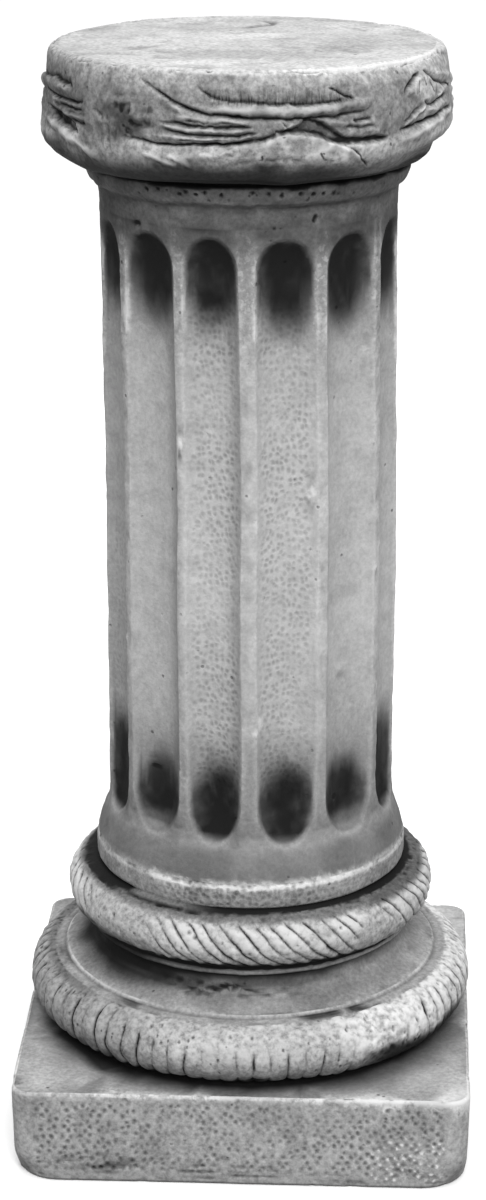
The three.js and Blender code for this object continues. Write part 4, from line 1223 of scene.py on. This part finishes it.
# scattered bug holes everywhere
bugs = m.new("ShaderNodeTexVoronoi", voronoi_dimensions="3D", feature="F1")
m.link(where, bugs.inputs["Vector"])
bugs.inputs["Scale"].default_value = 120.0
bug = m.math("MULTIPLY", m.span(bugs.outputs["Distance"], 0.18, 0.08), m.span(n_mid, 0.56, 0.68))
# upright hatching
comb = m.new("ShaderNodeVectorMath", operation="MULTIPLY")
m.link(flat_map, comb.inputs[0])
comb.inputs[1].default_value = (1.0, 0.12, 1.0)
n_comb = m.noise(comb.outputs[0], 900.0, 3.0)
comb_line = m.math("MULTIPLY", m.span(n_comb, 0.48, 0.66), m.attribute("hatch"))

value = m.math("MULTIPLY_ADD", n_wide, 0.16, 0.165)
value = m.math("MULTIPLY_ADD", n_mid, 0.17, value)
# painted light on the shaft
value = m.math("MULTIPLY_ADD", m.attribute("lift"), 0.085, value)
value = m.math("MULTIPLY_ADD", m.math("SUBTRACT", n_fine, 0.5), m.math("MULTIPLY_ADD", m.attribute("grit"), 0.58, 0.12), value)
value = m.math("MULTIPLY_ADD", n_grain, 0.10, value)
# rubbed high spots and painted highlights: patchy, breaking up into specks where the rubbing is light
rub = m.math("MULTIPLY_ADD", a_ridge, 0.45, a_pale)
speck = m.math("MULTIPLY_ADD", rub, 0.5, m.math("SUBTRACT", m.math("MULTIPLY_ADD", n_mid, 0.35, m.math("MULTIPLY", n_fine, 0.65)), 0.25))
rub = m.math("MULTIPLY", m.span(speck, 0.28, 0.88), m.math("POWER", m.math("MINIMUM", rub, 1.0), 0.5))
value = m.mix(rub, value, 0.66)
spatter = m.math("MULTIPLY", m.span(m.noise(where, 300.0, 2.0, 0.55), 0.52, 0.66), m.attribute("fleck"))
value = m.mix(spatter, value, 0.72)
# black patina and painted shade, from the dark mask and the creases
patina_and_shade = m.math("MULTIPLY_ADD", a_crease, 0.5, a_dark)
patina_and_shade = m.math("MULTIPLY_ADD", comb_line, 0.22, patina_and_shade)
mottle = m.math("MULTIPLY", m.math("SUBTRACT", n_mid, 0.5), m.math("MULTIPLY", m.math("MULTIPLY", patina_and_shade, m.math("SUBTRACT", 1.0, patina_and_shade)), 1.1))
patina_and_shade = m.math("ADD", patina_and_shade, mottle, clamp=True)
patina_and_shade = m.math("SUBTRACT", 1.0, m.math("POWER", m.math("SUBTRACT", 1.0, patina_and_shade), 1.6))
value = m.mix(patina_and_shade, value, 0.01)
value = m.math("MULTIPLY", value, m.math("SUBTRACT", 1.0, m.math("MULTIPLY", pit, 0.42)))
value = m.math("MULTIPLY", value, m.math("SUBTRACT", 1.0, m.math("MULTIPLY", bug, 0.6)), clamp=True)
colour = m.new("ShaderNodeCombineColor")
for k in range(3):
    m.link(value, colour.inputs[k])

height = m.math("MULTIPLY_ADD", n_fine, 0.45, m.math("MULTIPLY", n_grain, 0.22))
height = m.math("SUBTRACT", height, m.math("MULTIPLY", pit, 1.0))
height = m.math("SUBTRACT", height, m.math("MULTIPLY", bug, 1.0))
height = m.math("SUBTRACT", height, m.math("MULTIPLY", comb_line, 0.5))
bump = m.new("ShaderNodeBump")
bump.inputs["Strength"].default_value = 0.8
bump.inputs["Distance"].default_value = 0.0007
m.link(height, bump.inputs["Height"])

shader = m.new("ShaderNodeBsdfPrincipled")
m.link(colour.outputs[0], shader.inputs["Base Color"])
m.link(m.math("MULTIPLY_ADD", n_fine, 0.16, 0.8), shader.inputs["Roughness"])
m.link(bump.outputs[0], shader.inputs["Normal"])
shader.inputs["Specular IOR Level"].default_value = 0.1
output = m.new("ShaderNodeOutputMaterial")
m.link(shader.outputs[0], output.inputs[0])
column.data.materials.clear()
column.data.materials.append(m.mat)

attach(column, "root")
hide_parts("column")

# =============================================================================
# Studio: plain pale floor, soft light from above
# =============================================================================
floor_me = bpy.data.meshes.new("floor")
floor_me.from_pydata([(-30, -30, 0), (30, -30, 0), (30, 30, 0), (-30, 30, 0)], [], [(0, 1, 2, 3)])
floor = bpy.data.objects.new("floor", floor_me)
scene.collection.objects.link(floor)
fm = Nodes("floor")
f_noise = fm.noise(fm.new("ShaderNodeTexCoord").outputs["Object"], 3.0, 2.0)
f_shader = fm.new("ShaderNodeBsdfPrincipled")
f_value = fm.math("MULTIPLY_ADD", f_noise, 0.02, 0.955)
f_colour = fm.new("ShaderNodeCombineColor")
for k in range(3):
    fm.link(f_value, f_colour.inputs[k])
fm.link(f_colour.outputs[0], f_shader.inputs["Base Color"])
f_shader.inputs["Roughness"].default_value = 0.9
f_shader.inputs["Specular IOR Level"].default_value = 0.1
f_out = fm.new("ShaderNodeOutputMaterial")
fm.link(f_shader.outputs[0], f_out.inputs[0])
floor_me.materials.append(fm.mat)
floor.visible_diffuse = False  # the floor shows, but throws no light up under the mouldings

world = bpy.data.worlds.new("studio")
scene.world = world
world.use_nodes = True
wt = world.node_tree
back_node = wt.nodes["Background"]
back_node.inputs[0].default_value = (1, 1, 1, 1)
sky_at = wt.nodes.new("ShaderNodeTexCoord")
sky_z = wt.nodes.new("ShaderNodeSeparateXYZ")
sky_map = wt.nodes.new("ShaderNodeMapRange")
wt.links.new(sky_at.outputs["Generated"], sky_z.inputs[0])
wt.links.new(sky_z.outputs[2], sky_map.inputs[0])
for socket, x in zip(sky_map.inputs[1:5], (-0.02, 1.0, 0.33, 1.42)):
    socket.default_value = x
wt.links.new(sky_map.outputs[0], back_node.inputs[1])


def area_light(name, place, target, size, power):
    data = bpy.data.lights.new(name, "AREA")
    data.shape = "SQUARE"
    data.size = size
    data.energy = power
    lamp = bpy.data.objects.new(name, data)
    scene.collection.objects.link(lamp)
    lamp.location = place
    lamp.rotation_mode = "QUATERNION"
    lamp.rotation_quaternion = (Vector(target) - Vector(place)).to_track_quat("-Z", "Y")
    return lamp


area_light("key", (0.45, -2.33, 2.2), (0, 0, 0.35), 1.2, 68)
area_light("fill", (-0.5, 2.3, 1.5), (0, 0, 0.35), 1.4, 21)

scene.view_settings.view_transform = "Standard"
scene.view_settings.look = "None"
